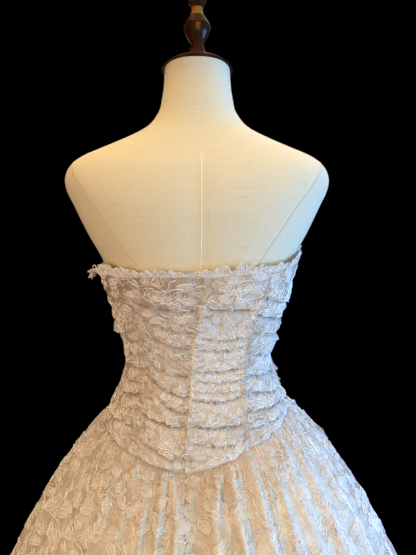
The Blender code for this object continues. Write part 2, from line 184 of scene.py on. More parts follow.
def swept(paths, normals, side, rise, corners, closed):
    """Closed tubes along many paths at once, as (points, faces).

    paths and normals are (paths, points, 3). Round each point of a path stands a ring of corners at
    P + side cos(a) (t x n) + rise sin(a) n, where t is the path's direction and n the cloth's normal.
    An open path is capped at both ends, and a closed one runs back into its start.
    """
    count, length = paths.shape[:2]
    if closed:
        ahead = np.roll(paths, -1, axis=1) - np.roll(paths, 1, axis=1)
    else:
        ahead = np.gradient(paths, axis=1)
    ahead = unit(ahead)
    aside = unit(np.cross(ahead, normals))
    up = np.cross(aside, ahead)
    angle = np.pi / 2 + 2 * np.pi * np.arange(corners) / corners
    side = np.broadcast_to(side, (count, length))[..., None, None]
    rise = np.broadcast_to(rise, (count, length))[..., None, None]
    rings = (
        paths[:, :, None, :]
        + side * np.cos(angle)[:, None] * aside[:, :, None, :]
        + rise * np.sin(angle)[:, None] * up[:, :, None, :]
    )
    start = (np.arange(count) * length * corners)[:, None, None]
    place = np.arange(length if closed else length - 1)[None, :, None]
    corner = np.arange(corners)[None, None, :]
    here = start + place * corners
    there = start + (place + 1) % length * corners
    following = (corner + 1) % corners
    walls = np.stack([here + corner, there + corner, there + following, here + following], -1).reshape(-1, 4)
    faces = [walls]
    if not closed:
        first = start[:, 0, :] + np.arange(corners)[None, :]
        last = first + (length - 1) * corners
        faces += [first, last[:, ::-1]]
    return rings.reshape(-1, 3), faces


# %% [markdown]
# ## Finishes
# A finish is a Principled shader whose colour, roughness and bump are worked out from nodes.
# The Wire class wraps a node's output, so that maths on it reads as Python.

# %% A small language for shaders


class Wire:
    """One output of a node. Maths on it adds the Math node that does it."""

    def __init__(self, finish, socket):
        self.finish = finish
        self.socket = socket

    def maths(self, operation, first, second):
        return self.finish.node("Math", {"operation": operation}, {0: first, 1: second})

    def __add__(self, other):
        return self.maths("ADD", self, other)

    def __radd__(self, other):
        return self.maths("ADD", other, self)

    def __sub__(self, other):
        return self.maths("SUBTRACT", self, other)

    def __rsub__(self, other):
        return self.maths("SUBTRACT", other, self)

    def __mul__(self, other):
        return self.maths("MULTIPLY", self, other)

    def __rmul__(self, other):
        return self.maths("MULTIPLY", other, self)


def towards(start, end, share):
    """From start to end as share goes from 0 to 1. Each of them may be a number or a wire."""
    return start + (end - start) * share


# %% [markdown]
# A Finish owns a material. Its node method adds any node, and the short ones add those that most finishes need.

# %% A material and its nodes


class Finish:
    """A material, and the few ways of adding nodes to it."""

    def __init__(self, name, constants):
        self.material = bpy.data.materials.new(name)
        self.material.use_nodes = True
        self.tree = self.material.node_tree
        self.shader = self.tree.nodes["Principled BSDF"]
        for socket, value in constants.items():
            self.shader.inputs[socket].default_value = value

    def node(self, kind, settings=None, inputs=None, output=0):
        """A node of this kind: its settings first, then the values or wires of its inputs."""
        made = self.tree.nodes.new("ShaderNode" + kind)
        for key, value in (settings or {}).items():
            if key == "stops":
                ramp = made.color_ramp.elements
                while len(ramp) < len(value):
                    ramp.new(1.0)
                for stop, (position, colour) in zip(ramp, value):
                    stop.position = position
                    stop.color = (*colour, 1.0)
            else:
                setattr(made, key, value)
        for key, value in (inputs or {}).items():
            if isinstance(value, Wire):
                self.tree.links.new(value.socket, made.inputs[key])
            else:
                made.inputs[key].default_value = value
        return Wire(self, made.outputs[output])

    def place(self, *scale, source="Object"):
        """Object or UV coordinates in metres, times one scale, or times one for each axis."""
        scale = scale * 3 if len(scale) == 1 else scale
        coordinates = self.node("TexCoord", output=source)
        return self.node("Mapping", inputs={"Vector": coordinates, "Scale": scale})

    def marked(self, name):
        """The number that the mesh keeps at each point under this name."""
        return self.node("Attribute", {"attribute_name": name}, output=2)

    def noise(self, place, detail=2.0, roughness=0.5):
        """Smooth noise from 0 to 1."""
        inputs = {"Vector": place, "Scale": 1.0, "Detail": detail, "Roughness": roughness}
        return self.node("TexNoise", inputs=inputs)

    def distance(self, value, other):
        """How far the value is from another, without its sign."""
        return self.node("Math", {"operation": "ABSOLUTE"}, {0: value - other})

    def larger(self, value, other):
        """The larger of two values."""
        return self.node("Math", {"operation": "MAXIMUM"}, {0: value, 1: other})

    def between(self, value, low, high):
        """0 where the value is below low, 1 where it is above high, smooth between."""
        settings = {"interpolation_type": "SMOOTHSTEP"}
        return self.node("MapRange", settings, {"Value": value, "From Min": low, "From Max": high})

    def blend(self, share, first, second):
        """The first colour turning into the second as share goes from 0 to 1."""
        first = first if isinstance(first, Wire) else (*first, 1.0)
        second = second if isinstance(second, Wire) else (*second, 1.0)
        return self.node("Mix", {"data_type": "RGBA"}, {0: share, 6: first, 7: second}, output=2)

    def feed(self, socket, value):
        """Lets a wire drive one of the shader's own sockets."""
        self.tree.links.new(value.socket, self.shader.inputs[socket])

    def bump(self, height, distance, strength):
        """Raises the surface by a height from 0 to about 1, in units of a distance in metres."""
        inputs = {"Height": height, "Distance": distance, "Strength": strength}
        self.feed("Normal", self.node("Bump", inputs=inputs))


# %% [markdown]
# ### Linen
# The form is covered in natural linen: a plain weave of uneven threads, with a darker slub here and there.
# Stretched noise makes the threads, once upright and once level, and its highest parts are the slubs.

# %% Linen
LINEN_SHADE, LINEN = (0.575, 0.5, 0.338), (0.65, 0.57, 0.392)
LINEN_THREAD, LINEN_SLUB = (0.74, 0.67, 0.52), (0.48, 0.39, 0.27)

linen = Finish("linen_cover", {"Sheen Weight": 0.25, "Sheen Roughness": 0.5, "Specular IOR Level": 0.25})
upright = linen.noise(linen.place(900.0, 900.0, 18.0), detail=3.0)
level = linen.noise(linen.place(16.0, 16.0, 900.0), detail=3.0)
slub_level = linen.between(linen.noise(linen.place(38.0, 38.0, 620.0), detail=1.0), 0.66, 0.74)
slub_upright = linen.between(linen.noise(linen.place(560.0, 560.0, 45.0), detail=1.0), 0.69, 0.76)
cloudy = linen.noise(linen.place(9.0), detail=3.0)
cover = linen.blend(cloudy, LINEN_SHADE, LINEN)
cover = linen.blend((upright + level) * 0.5, cover, LINEN_THREAD)
cover = linen.blend(slub_level * 0.3 + slub_upright * 0.16, cover, LINEN_SLUB)
linen.feed("Base Color", cover)
linen.feed("Roughness", towards(0.78, 0.92, cloudy))
linen.bump(upright + level + slub_level * 0.8, 0.35 * MM, 0.6)
print("linen: threads both ways, with slubs")


def welt_finish(name, roughness, dark, pale):
    """Folded linen along a seam: one tone clouded with another."""
    welt = Finish(name, {"Roughness": roughness})
    welt.feed("Base Color", welt.blend(welt.noise(welt.place(500.0)), dark, pale))
    return welt.material


pale_welt = welt_finish("linen_welt", 0.8, (0.8, 0.76, 0.67), (0.9, 0.87, 0.79))
tan_welt = welt_finish("linen_seam", 0.85, (0.62, 0.52, 0.37), (0.72, 0.62, 0.45))

# %% [markdown]
# ### Polished wood
# The finial, cap and stand are turned from dark red-brown wood and varnished.
# The grain runs up the wood: rings of noise stretched along Z, with amber where it is palest. A band of amber round
# the stem and an amber streak up the middle of the urn are painted highlights. The varnish has worn dull, so its
# coat is thin, except on one patch of the finial that still shines.

# %% Polished wood
PORE_BROWN, HIGHLIGHT_AMBER = (0.02, 0.006, 0.003), (0.3, 0.13, 0.022)
# Columns: value of the figure, colour there.
GRAIN = (
    (0, (0.01, 0.0025, 0.0014)), (0.44, (0.024, 0.006, 0.0025)), (0.58, (0.058, 0.017, 0.006)),
    (0.78, (0.16, 0.062, 0.014)),
)
# Heights on the finial: where a patch starts, where it is full, where it starts to fade, and where it ends.
STEM_HIGHLIGHT_HEIGHTS = (1.5505, 1.5535, 1.5612, 1.563)
URN_HIGHLIGHT_HEIGHTS = (1.524, 1.533, 1.5366, 1.538)
SHINE_HEIGHTS = (1.515, 1.522, 1.5255, 1.53)

wood = Finish("dark_polished_wood", {"Coat Roughness": 0.14, "Specular IOR Level": 0.03})
figure = wood.noise(wood.place(52.0, 52.0, 9.0), detail=4.0, roughness=0.6)
pores = wood.noise(wood.place(900.0, 900.0, 45.0))
grain = wood.node("ValToRGB", {"stops": GRAIN}, {0: figure})
on_wood = wood.node("TexCoord", output="Object")
to_right = wood.node("SeparateXYZ", inputs={0: on_wood})
upwards = wood.node("SeparateXYZ", inputs={0: on_wood}, output=2)


def wood_patch(start, full, fading, end):
    """1 on the wood between two heights, fading to 0 above and below them."""
    return wood.between(upwards, start, full) * (1.0 - wood.between(upwards, fading, end))


# Painted highlights: an amber streak up the middle of the urn, and a band of amber round the stem.
highlight_streak = 1.0 - wood.between(wood.distance(to_right + figure * 0.004, 0.003), 0.0015, 0.005)
amber = wood_patch(*STEM_HIGHLIGHT_HEIGHTS) * 0.9 + wood_patch(*URN_HIGHLIGHT_HEIGHTS) * highlight_streak * 0.45
wood.feed("Base Color", wood.blend(amber, wood.blend(pores * 0.5, grain, PORE_BROWN), HIGHLIGHT_AMBER))
wood.feed("Roughness", towards(0.34, 0.52, pores))
polished = wood_patch(*SHINE_HEIGHTS) * wood.between(to_right, 0.005, 0.008)
wood.feed("Coat Weight", 0.005 + 0.45 * polished)
wood.bump(pores, 0.08 * MM, 0.4)
print("wood: dark figure with amber streaks")

# %% [markdown]
# ### Peach satin
# The foundation and the skirt's lining are a soft peach satin. Its weave is too fine to see, so what shows is
# a slow change of tone and roughness, a faint warp along the cloth, and the sheen of the long floats.

# %% Peach satin
PEACH, PALE_PEACH = (0.91, 0.66, 0.48), (0.96, 0.78, 0.61)

satin = Finish("peach_satin", {"Sheen Weight": 0.35, "Sheen Roughness": 0.35, "Specular IOR Level": 0.45})
tone = satin.noise(satin.place(7.0, 7.0, 4.0), detail=3.0)
warp = satin.noise(satin.place(1500.0, 40.0, 1.0, source="UV"))
satin.feed("Base Color", satin.blend(tone, PEACH, PALE_PEACH))
satin.feed("Roughness", 0.36 + 0.16 * tone + 0.06 * warp)
satin.bump(warp, 0.12 * MM, 0.35)
print("satin: peach, with a fine warp")

# %% [markdown]
# ### Lace
# Lace is a sheer ground of fine net, petals and leaves that are darned more closely, and the thick cord that
# outlines them, all in champagne. The ground is a cell pattern: its threads are opaque and its holes aren't.
# Two numbers on the mesh change it: how far it is drawn into a crease, with painted shade, and how far it lies double,
# painted paler.

# %% The ground of net
LACE_SHEEN = {"Sheen Weight": 0.3, "Sheen Roughness": 0.4, "Specular IOR Level": 0.3}
HOLES_PER_METRE = 480.0
PETAL_RING, EYE_RING = 0.37, 0.15  # how far two rings of cord stand from a petal's centre, in cells
DOUBLE_ALPHA = 0.92  # where the net lies double, or has a cord
GATHERED_ALPHA = 0.95


def net_finish(name, alphas, cell, cord, drawing, shade, streaked, colours):
    """The ground: threads round holes 2 mm across, with small petals that thin cords outline and join.

    Noise bends a cell pattern. A petal is the middle of a cell, with two rings of cord round it, and a finer
    cord follows the cell's edge. Upright streaks are the small gathers, raised by bump and painted paler as a
    highlight. Where the mesh is marked as gathered the net is closer and painted in shade, and where it is marked
    as bunched it lies double and is painted paler, partly as painted light.

    alphas are a hole's and a thread's, drawing is how strong the cords are, shade how dark the painted shade in a
    crease is, streaked how far the gathers' streaks lighten it, and colours are the dark, the pale and the painted
    shade's.
    """
    hole_alpha, thread_alpha = alphas
    dark, pale, crease = colours
    net = Finish(name, LACE_SHEEN)
    cut = net.place(1.0, source="UV")
    bent = net.node("TexNoise", inputs={"Vector": cut, "Scale": 0.8 / cell, "Detail": 2.0}, output=1)
    bend = net.node("VectorMath", {"operation": "SCALE"}, {0: bent, "Scale": 1.5 * cell})
    wavy = net.node("VectorMath", {"operation": "ADD"}, {0: cut, 1: bend})
    edges = {"feature": "DISTANCE_TO_EDGE"}
    holes = net.node("TexVoronoi", edges, {"Vector": cut, "Scale": HOLES_PER_METRE})
    links = net.node("TexVoronoi", edges, {"Vector": wavy, "Scale": 1.0 / cell})
    centre = net.node("TexVoronoi", inputs={"Vector": wavy, "Scale": 1.0 / cell})

    def corded(gap, near, far):
        """1 where the gap to a line is under near, 0 over far, both as shares of the cord's thickness."""
        return 1.0 - net.between(gap, near * cord / cell, far * cord / cell)

    rim = corded(net.distance(centre, PETAL_RING), 0.3, 0.9)
    eye = corded(net.distance(centre, EYE_RING), 0.2, 0.7)
    link = corded(links, 0.2, 0.7)
    line = drawing * net.larger(net.larger(rim, eye * 0.6), link * 0.4)
    filled = 1.0 - net.between(centre, 0.33, 0.4)
    thread = 1.0 - net.between(holes, 0.06, 0.2)
    patch = net.between(net.noise(net.place(42.0), detail=3.0), 0.4, 0.66)
    highlight_streak = net.between(net.noise(net.place(300.0, 300.0, 30.0)), 0.38, 0.62)
    gathers_and_shade, bunched = net.marked("gathered"), net.marked("bunched")
    ground = towards(hole_alpha, thread_alpha, thread * 0.34 + patch * 0.42 + filled * 0.24)
    ground = towards(towards(ground, DOUBLE_ALPHA, bunched), DOUBLE_ALPHA, line)
    net.feed("Alpha", towards(ground, GATHERED_ALPHA, gathers_and_shade * 0.7))
    # The gathers' streaks and the doubled lace are painted paler: partly painted highlight.
    colour = net.blend(patch * 0.3 + filled * 0.15 + line * 0.8 + highlight_streak * 0.2 + bunched * 0.6, dark, pale)
    # Painted shade: the colour turns to the crease colour where the mesh is marked as gathered.
    painted_shade = gathers_and_shade * shade * (1.0 - streaked * highlight_streak)
    net.feed("Base Color", net.blend(painted_shade, colour, crease))
    net.feed("Roughness", 0.62 + 0.2 * patch)
    net.bump(thread * 0.3 + patch + line * 1.2 + filled * 0.4 + highlight_streak * 1.6, 0.5 * MM, 0.8)
    return net.material


# The last colour of each net is the painted shade in its creases.
bodice_net = net_finish(
    "bodice_lace_net", alphas=(0.12, 0.6), cell=15.0 * MM, cord=1.1 * MM, drawing=0.18, shade=0.95, streaked=0.0,
    colours=((0.7, 0.59, 0.49), (0.94, 0.89, 0.84), (0.24, 0.13, 0.08)),
)
skirt_net = net_finish(
    "skirt_lace_net", alphas=(0.16, 0.6), cell=23.0 * MM, cord=1.3 * MM, drawing=0.35, shade=0.85, streaked=0.5,
    colours=((0.7, 0.62, 0.53), (0.9, 0.86, 0.81), (0.62, 0.37, 0.22)),
)
print("lace: two nets, with", HOLES_PER_METRE, "holes to the metre")

# %% [markdown]
# Petals let some satin through, and cord doesn't. Both take painted shade where the lace is gathered, as the net does.

# %% Petals, cord and thread
# The colour that petals and cords are painted in a crease: painted shade.
PAINTED_CREASE_SHADE = (0.3, 0.17, 0.1)


def colour_with_painted_shade(finish, colour):
    """The colour, with painted shade where the mesh is marked as gathered."""
    finish.feed("Base Color", finish.blend(finish.marked("gathered") * 0.8, colour, PAINTED_CREASE_SHADE))


def darned_finish(name, alpha_low, alpha_high, dark, pale):
    """Petals and leaves: close darning, a little thicker in some places than in others."""
    darned = Finish(name, LACE_SHEEN)
    stitch = darned.noise(darned.place(650.0))
    worn = darned.noise(darned.place(60.0))
    darned.feed("Alpha", towards(alpha_low, alpha_high, darned.between(stitch + worn, 0.7, 1.25)))
    colour_with_painted_shade(darned, darned.blend(worn, dark, pale))
    darned.feed("Roughness", 0.6 + 0.2 * stitch)
    darned.bump(stitch, 0.3 * MM, 0.8)
    return darned.material


def cord_finish(name, dark, pale):
    """The outlining cord: twisted thread, so small light and dark turns along it."""
    cord = Finish(name, LACE_SHEEN)
    twist = cord.noise(cord.place(700.0), detail=1.0)
    worn = cord.noise(cord.place(30.0))
    colour_with_painted_shade(cord, cord.blend(twist * 0.5 + worn * 0.5, dark, pale))
    cord.feed("Roughness", 0.5 + 0.3 * twist)
    cord.bump(twist, 0.3 * MM, 0.8)
    return cord.material


bodice_petals = darned_finish("bodice_lace_petals", 0.2, 0.46, (0.84, 0.77, 0.7), (0.95, 0.91, 0.87))
skirt_petals = darned_finish("skirt_lace_petals", 0.32, 0.62, (0.74, 0.68, 0.61), (0.9, 0.86, 0.82))
lace_cord = cord_finish("lace_cord", (0.86, 0.81, 0.75), (0.98, 0.96, 0.93))
coral_thread = cord_finish("coral_thread", (0.7, 0.33, 0.18), (0.88, 0.53, 0.35))
print("lace: two darnings, cord and coral thread")

# %% [markdown]
# ## The body's shape
# A place on the body is an angle round the stand's axis and a height. The angle is 0 at the centre back,
# 90 degrees at the wearer's right, 180 at the centre front. The sections are superellipses, joined smoothly.

# %% The form's sizes
WAIST_HEIGHT = 1.028
BUST_HEIGHT = 1.14
NECK_TOP = 1.4835

# Columns: height, half width at the side, depth to the back, depth to the front.
FORM_SECTIONS = (
    (0.79, 0.152, 0.104, 0.092), (0.802, 0.163, 0.114, 0.101), (0.85, 0.166, 0.122, 0.106),
    (0.915, 0.153, 0.119, 0.104), (0.97, 0.13, 0.101, 0.096), (WAIST_HEIGHT, 0.1105, 0.087, 0.089),
    (1.085, 0.12, 0.089, 0.096), (BUST_HEIGHT, 0.134, 0.096, 0.104), (1.19, 0.147, 0.1, 0.099),
    (1.239, 0.172, 0.102, 0.083), (1.277, 0.189, 0.101, 0.071), (1.302, 0.2, 0.096, 0.063),
    (1.32, 0.201, 0.09, 0.057), (1.338, 0.191, 0.082, 0.052), (1.351, 0.172, 0.074, 0.049),
    (1.364, 0.14, 0.066, 0.046), (1.377, 0.108, 0.058, 0.045), (1.391, 0.079, 0.05, 0.047),
    (1.412, 0.0595, 0.043, 0.051), (1.44, 0.0525, 0.0425, 0.05), (NECK_TOP, 0.0485, 0.047, 0.0475),
)
SQUARENESS = 2.25  # 2 is a plain ellipse
BUST_FORWARD = 0.026
BUST_APART = 0.078
BUST_SPREAD = 0.058
BUST_RISE = 0.06
FORM_BUST = 0.85
BUST_CLEFT = 0.3
CLEFT_WIDTH = 0.032
BUST_ROUND = 0.6
print("form:", len(FORM_SECTIONS), "sections from", FORM_SECTIONS[0][0], "to", NECK_TOP, "m")

# %% [markdown]
# The gown is given by where its edges and seams run on the form, and by how far each layer stands off it.

# %% The gown's sizes
HEM_HEIGHT = 0.012
BACK_NECKLINE = 1.186
SIDE_SEAM_HEIGHT = 0.941

EASE = 2.2 * MM
FOUNDATION_WALL = 1.2 * MM
LACE_OUT = 6.0 * MM  # the lace's outer face where it lies flat
LINING_WALL = 1.2 * MM
SEAM_GAP = 0.3 * MM
NET_WALL = 0.5 * MM

SIDE_TURN = 92.0
BACK_POINT_TURN = -5.0
BACK_DIP = 0.039
FRONT_DIP = 0.047
DIP_WIDTH = 37.0
POINTED = 1.4
ROUNDED = 2.0
NECKLINE_TILT = 0.005
WAIST_SEAM_TILT = 0.009
FRONT_NECKLINE_RISE = 0.022
SWEETHEART_DIP = 0.014
SWEETHEART_WIDTH = 17.0

# Columns: share of the way down, back princess seam, front princess seam, drift of the centre back seam.
SEAM_TURNS = (
    (0, 42, 36, 2.5), (0.2, 37, 33, 1), (0.4, 33, 29, -2.5), (0.65, 31, 26, -4), (1, 36, 28, BACK_POINT_TURN),
)
# The right princess seam was sewn a little off its mate. Columns: share of the way down, turn added to it.
RIGHT_SEAM_DRIFT = ((0.0, 0.0), (0.24, -3.8), (0.42, -0.6), (0.6, 1.2), (0.75, -1.6), (0.87, -6.0), (1.0, -10.0))
print("gown: neckline at", BACK_NECKLINE, "m, side seams to", SIDE_SEAM_HEIGHT, "m, hem at", HEM_HEIGHT, "m")

# %% [markdown]
# A few listed rows, read through a smooth curve, give a surface without corners.

# %% Curves and eases


def smooth_column(rows, column, at):
    """A cubic Hermite curve through one column of a table, read at values of its first column."""
    table = np.array(rows)
    knots, values = table[:, 0], table[:, column]
    slopes = np.gradient(values, knots)
    at = np.clip(at, knots[0], knots[-1])
    i = np.clip(np.searchsorted(knots, at) - 1, 0, len(knots) - 2)
    span = knots[i + 1] - knots[i]
    t = (at - knots[i]) / span
    start = (1 + 2 * t) * (1 - t) ** 2 * values[i] + t * (1 - t) ** 2 * span * slopes[i]
    end = t * t * (3 - 2 * t) * values[i + 1] + t * t * (t - 1) * span * slopes[i + 1]
    return start + end


def ease_in(value):
    """0 below 0, 1 above 1, and 3v^2 - 2v^3 between."""
    value = np.clip(value, 0.0, 1.0)
    return value * value * (3.0 - 2.0 * value)


def band(value, start, rise, end, fall):
    """0 up to start, eased to 1 over rise, and eased back to 0 from end over fall."""
    return ease_in((value - start) / rise) * (1.0 - ease_in((value - end) / fall))


def apart(turn, centre):
    """Degrees between two angles, the short way round."""
    return np.abs((turn - centre + 180.0) % 360.0 - 180.0)


# %% [markdown]
# The body is what every layer of the gown stands off from, and its bust is added to the sections.

# %% The body's surface


def rounded_power(x):
    """The sine or cosine of a superellipse: the sign of x times |x| to 2 / SQUARENESS."""
    return np.sign(x) * np.abs(x) ** (2.0 / SQUARENESS)


def body_point(turn, height, out, fullness=1.0, cleft=0.0):
    """Points at these angles and heights, this far out from the form.

    x = (half width + out) S(sin), y = -(depth + out) S(cos) + bust, with S the superellipse's power.
    """
    turn, height, out = np.broadcast_arrays(np.radians(turn), height, out)
    back = np.cos(turn)
    depth = np.where(back > 0, smooth_column(FORM_SECTIONS, 2, height), smooth_column(FORM_SECTIONS, 3, height))
    x = (smooth_column(FORM_SECTIONS, 1, height) + out) * rounded_power(np.sin(turn))
    y = -(depth + out) * rounded_power(back)
    aside = np.maximum(np.abs(x) - BUST_APART, 0.0) / BUST_SPREAD
    above = (height - BUST_HEIGHT) / BUST_RISE
    bust = BUST_FORWARD * np.exp(-(aside**2)) * np.exp(-(above**2))
    front = np.clip(-back, 0.0, 1.0) ** BUST_ROUND
    hollow = fullness - cleft * np.exp(-((x / CLEFT_WIDTH) ** 2))
    return np.stack([x, y + front * hollow * bust, height], axis=-1)


def neckline(turn):
    """Height of the bodice's top edge: level at the back, a soft heart shape at the front."""
    angle = np.radians(turn)
    rise = FRONT_NECKLINE_RISE * ((1 - np.cos(angle)) / 2) ** 2
    dip = SWEETHEART_DIP * np.exp(-((apart(turn, 180.0) / SWEETHEART_WIDTH) ** ROUNDED))
    return BACK_NECKLINE + NECKLINE_TILT * np.sin(angle) + rise - dip


def waist_seam(turn):
    """Height of the dropped waist seam, which falls to a soft point at the centre back and front."""
    level = SIDE_SEAM_HEIGHT + WAIST_SEAM_TILT * np.sin(np.radians(turn))
    back = BACK_DIP * np.exp(-((apart(turn, BACK_POINT_TURN) / DIP_WIDTH) ** POINTED))
    front = FRONT_DIP * np.exp(-((apart(turn, 180.0) / DIP_WIDTH) ** ROUNDED))
    return level - back - front


# %% [markdown]
# ## The dress form
# The torso is a closed loft in linen, with a shallow hollow along the spine. Beyond each armhole seam the cloth
# lies flatter, as a separate plate does. The neck leans forward a little, and the cap and finial with it.

# %% Torso
# Where the armhole seams run. Columns: height, angle from the centre back, angle from the centre front.
ARMHOLE = (
    (1.15, 25, 40), (1.197, 31.5, 42), (1.238, 38.5, 44), (1.266, 43, 47), (1.291, 48, 51), (1.32, 57.5, 60),
    (1.335, 68, 70), (1.344, 84, 86),
)
PLATE_BEND = 0.016
SPINE_HOLLOW = 0.0026
SPINE_WIDTH = 0.016
# Heights over which they come and go, and over which the neck leans: start, rise, and end and fall.
PLATE_HEIGHTS = (1.16, 0.04, 1.325, 0.02)
SPINE_HEIGHTS = (1.02, 0.08, 1.3, 0.07)
NECK_START, NECK_RISE = 1.4, 0.08
NECK_TILT = 0.2  # how far the neck's top falls for each metre forwards
NECK_FORWARD = 0.0115
NECK_BACK = -0.037
TORSO_COLUMNS = 108
TORSO_ROWS = 84


def tilted(points, share=1.0):
    """The neck's top slopes down to the front: z falls by NECK_TILT (y - NECK_BACK), times a share."""
    points[..., 2] -= NECK_TILT * (points[..., 1] - NECK_BACK) * share
    return points


def torso_point(turn, height, out=0.0):
    """The form's surface: the body's section, with a hollow spine and the bend at each armhole seam.

    Past the seam the surface falls inwards by PLATE_BEND s (1 - s)^2, where s goes from 0 at the seam to
    1 at the side, so it bends at the seam and is smooth at the side.
    """
    turn, height = np.broadcast_arrays(turn, height)
    from_back = apart(turn, 0.0)
    seam_back = smooth_column(ARMHOLE, 1, height)
    seam_front = 180.0 - smooth_column(ARMHOLE, 2, height)
    back_share = np.clip((from_back - seam_back) / (90.0 - seam_back), 0.0, 1.0)
    front_share = np.clip((seam_front - from_back) / (seam_front - 90.0), 0.0, 1.0)
    share = np.where(from_back < 90.0, back_share, front_share)
    bend = PLATE_BEND * share * (1.0 - share) ** 2 * band(height, *PLATE_HEIGHTS)
    point = body_point(turn, height, out - bend, FORM_BUST, BUST_CLEFT)
    spine = np.exp(-((point[..., 0] / SPINE_WIDTH) ** 2)) * (np.cos(np.radians(turn)) > 0)
    neck = ease_in((height - NECK_START) / NECK_RISE)
    point[..., 1] += SPINE_HOLLOW * spine * band(height, *SPINE_HEIGHTS) + NECK_FORWARD * neck
    return tilted(point, neck)


# The rings are as close together as the sections are, so they are closest where the shoulders turn over.
sections = np.arange(len(FORM_SECTIONS))
ring_heights = np.interp(np.linspace(sections[-1], 0.0, TORSO_ROWS), sections, np.array(FORM_SECTIONS)[:, 0])
turns = np.arange(TORSO_COLUMNS) * 360.0 / TORSO_COLUMNS
points = torso_point(turns[None, :], ring_heights[:, None])
top_ring = np.arange(TORSO_COLUMNS)[None, :]
bottom_ring = (TORSO_ROWS - 1) * TORSO_COLUMNS + top_ring[:, ::-1]
faces = [grid_faces(TORSO_ROWS, TORSO_COLUMNS, wrapped=True), top_ring, bottom_ring]
torso = put_mesh("torso", points, faces, linen.material, "linen")
torso.data.set_sharp_from_angle(angle=math.radians(50))
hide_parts("form_torso")
print("torso:", triangles(torso), "triangles")

# %% [markdown]
# The cover is sewn at the centre back, where the seam shows as a pale raised line, and round both armholes.
# Each seam is a thin welt, half sunk in the surface.

# %% Seams of the cover
WELT = 0.8 * MM
ARMHOLE_WELT = 0.5 * MM


def torso_down(turn, depth):
    """The torso's surface, read downwards from the neck."""
    return torso_point(turn, NECK_TOP - depth)


def torso_seam(turn, height, radius):
    """A welt along the torso through these angles and heights."""
    depth = NECK_TOP - np.atleast_2d(height)
    path = torso_down(turn, depth)
    return swept(path, surface_normals(torso_down, turn, depth, 0.2, 0.001), radius, radius, 6, False)


seam_heights = np.linspace(1.352, 1.1, 60)
centre_back = torso_seam(0.9 + 0.0 * seam_heights, seam_heights, WELT)
armhole_heights = np.linspace(1.165, 1.342, 40)
back_turns = smooth_column(ARMHOLE, 1, armhole_heights)
front_turns = smooth_column(ARMHOLE, 2, armhole_heights)
armholes = [
    torso_seam(place, armhole_heights, ARMHOLE_WELT)
    for place in (back_turns, -back_turns, 180.0 - front_turns, 180.0 + front_turns)
]
put_mesh("torso_centre_back_seam", *centre_back, pale_welt, "linen")
put_mesh("torso_armhole_seams", *gather(armholes), tan_welt, "linen")
print("cover: a centre back welt and", len(armholes), "armhole seams")

# %% [markdown]
# ### Turned wood
# The cap, the finial, the plate under the torso, the pole and the base are all turned on a lathe.
# Each is a profile of radius and height, made smooth by a curve through its points and spun round the axis.

# %% The lathe
TURNING_COLUMNS = 64


def resample(points, count):
    """The same polyline, rounded and read at evenly spaced places."""
    rows = np.column_stack([np.arange(len(points)), points])
    at = np.linspace(0.0, len(points) - 1.0, count)
    return np.stack([smooth_column(rows, 1, at), smooth_column(rows, 2, at)], axis=-1)


def turned(name, profile, forward=0.0, fine=1, tilt=0.0):
    """A solid of revolution: x = r sin a, y = -r cos a, z = height, for a profile of (r, height) from its top.

    fine adds points between the profile's own, on a smooth curve through them, and tilt is a share of the
    neck's slope.
    """
    profile = resample(profile, (len(profile) - 1) * fine + 1) if fine > 1 else np.array(profile)
    radius = np.maximum(profile[1:-1, 0], 0.0)
    angle = 2 * np.pi * np.arange(TURNING_COLUMNS) / TURNING_COLUMNS
    wall = np.stack(
        [
            radius[:, None] * np.sin(angle),
            forward - radius[:, None] * np.cos(angle),
            np.broadcast_to(profile[1:-1, 1, None], (len(radius), TURNING_COLUMNS)),
        ],
        axis=-1,
    )
    poles = np.array([[0.0, forward, profile[0, 1]], [0.0, forward, profile[-1, 1]]])
    first = np.arange(TURNING_COLUMNS)
    following = (first + 1) % TURNING_COLUMNS
    last = (len(radius) - 1) * TURNING_COLUMNS
    top = len(radius) * TURNING_COLUMNS
    fans = [
        np.stack([np.full_like(first, top), first, following], -1),
        np.stack([np.full_like(first, top + 1), last + following, last + first], -1),
    ]
    points = tilted(np.concatenate([wall.reshape(-1, 3), poles]), tilt)
    piece = put_mesh(name, points, [grid_faces(len(radius), TURNING_COLUMNS, True), *fans], wood.material, "dark_wood")
    piece.data.set_sharp_from_angle(angle=math.radians(38))
    return piece


# %% [markdown]
# The cap follows the neck's slope and lean. The finial stands upright: an urn under a stem, with a ball on top.

# %% Neck cap and finial
CAP_RADIUS = 0.0505
CAP_HEIGHT = 0.0225
FINIAL_TOP = 1.587

cap_low = NECK_TOP + SEAM_GAP
# Columns: radius, height over the neck's end.
CAP_PROFILE = (
    (0, CAP_HEIGHT), (0.0135, CAP_HEIGHT), (0.015, 0.0219), (0.02, 0.0196),
    (0.029, 0.0152), (0.0395, 0.0094), (0.047, 0.0053), (0.0498, 0.0034),
    (CAP_RADIUS, 0.002), (CAP_RADIUS - 0.0008, 0), (0, 0),
)
cap = turned("neck_cap", [(radius, cap_low + high) for radius, high in CAP_PROFILE], NECK_FORWARD, 2, 1.0)
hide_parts("form_neck_cap")

finial_low = NECK_TOP + CAP_HEIGHT + 2 * SEAM_GAP - NECK_TILT * (NECK_FORWARD - NECK_BACK)
BALL_RADIUS = 0.0135
BALL_TOP, BALL_BOTTOM = 0.0112, 0.0165  # how far the ball reaches above its widest ring, and below it
ball_angles = np.radians(np.linspace(90.0, -52.0, 13))
ball = [
    (BALL_RADIUS * math.cos(a), FINIAL_TOP - BALL_TOP + (BALL_TOP if a > 0.0 else BALL_BOTTOM) * math.sin(a))
    for a in ball_angles
]
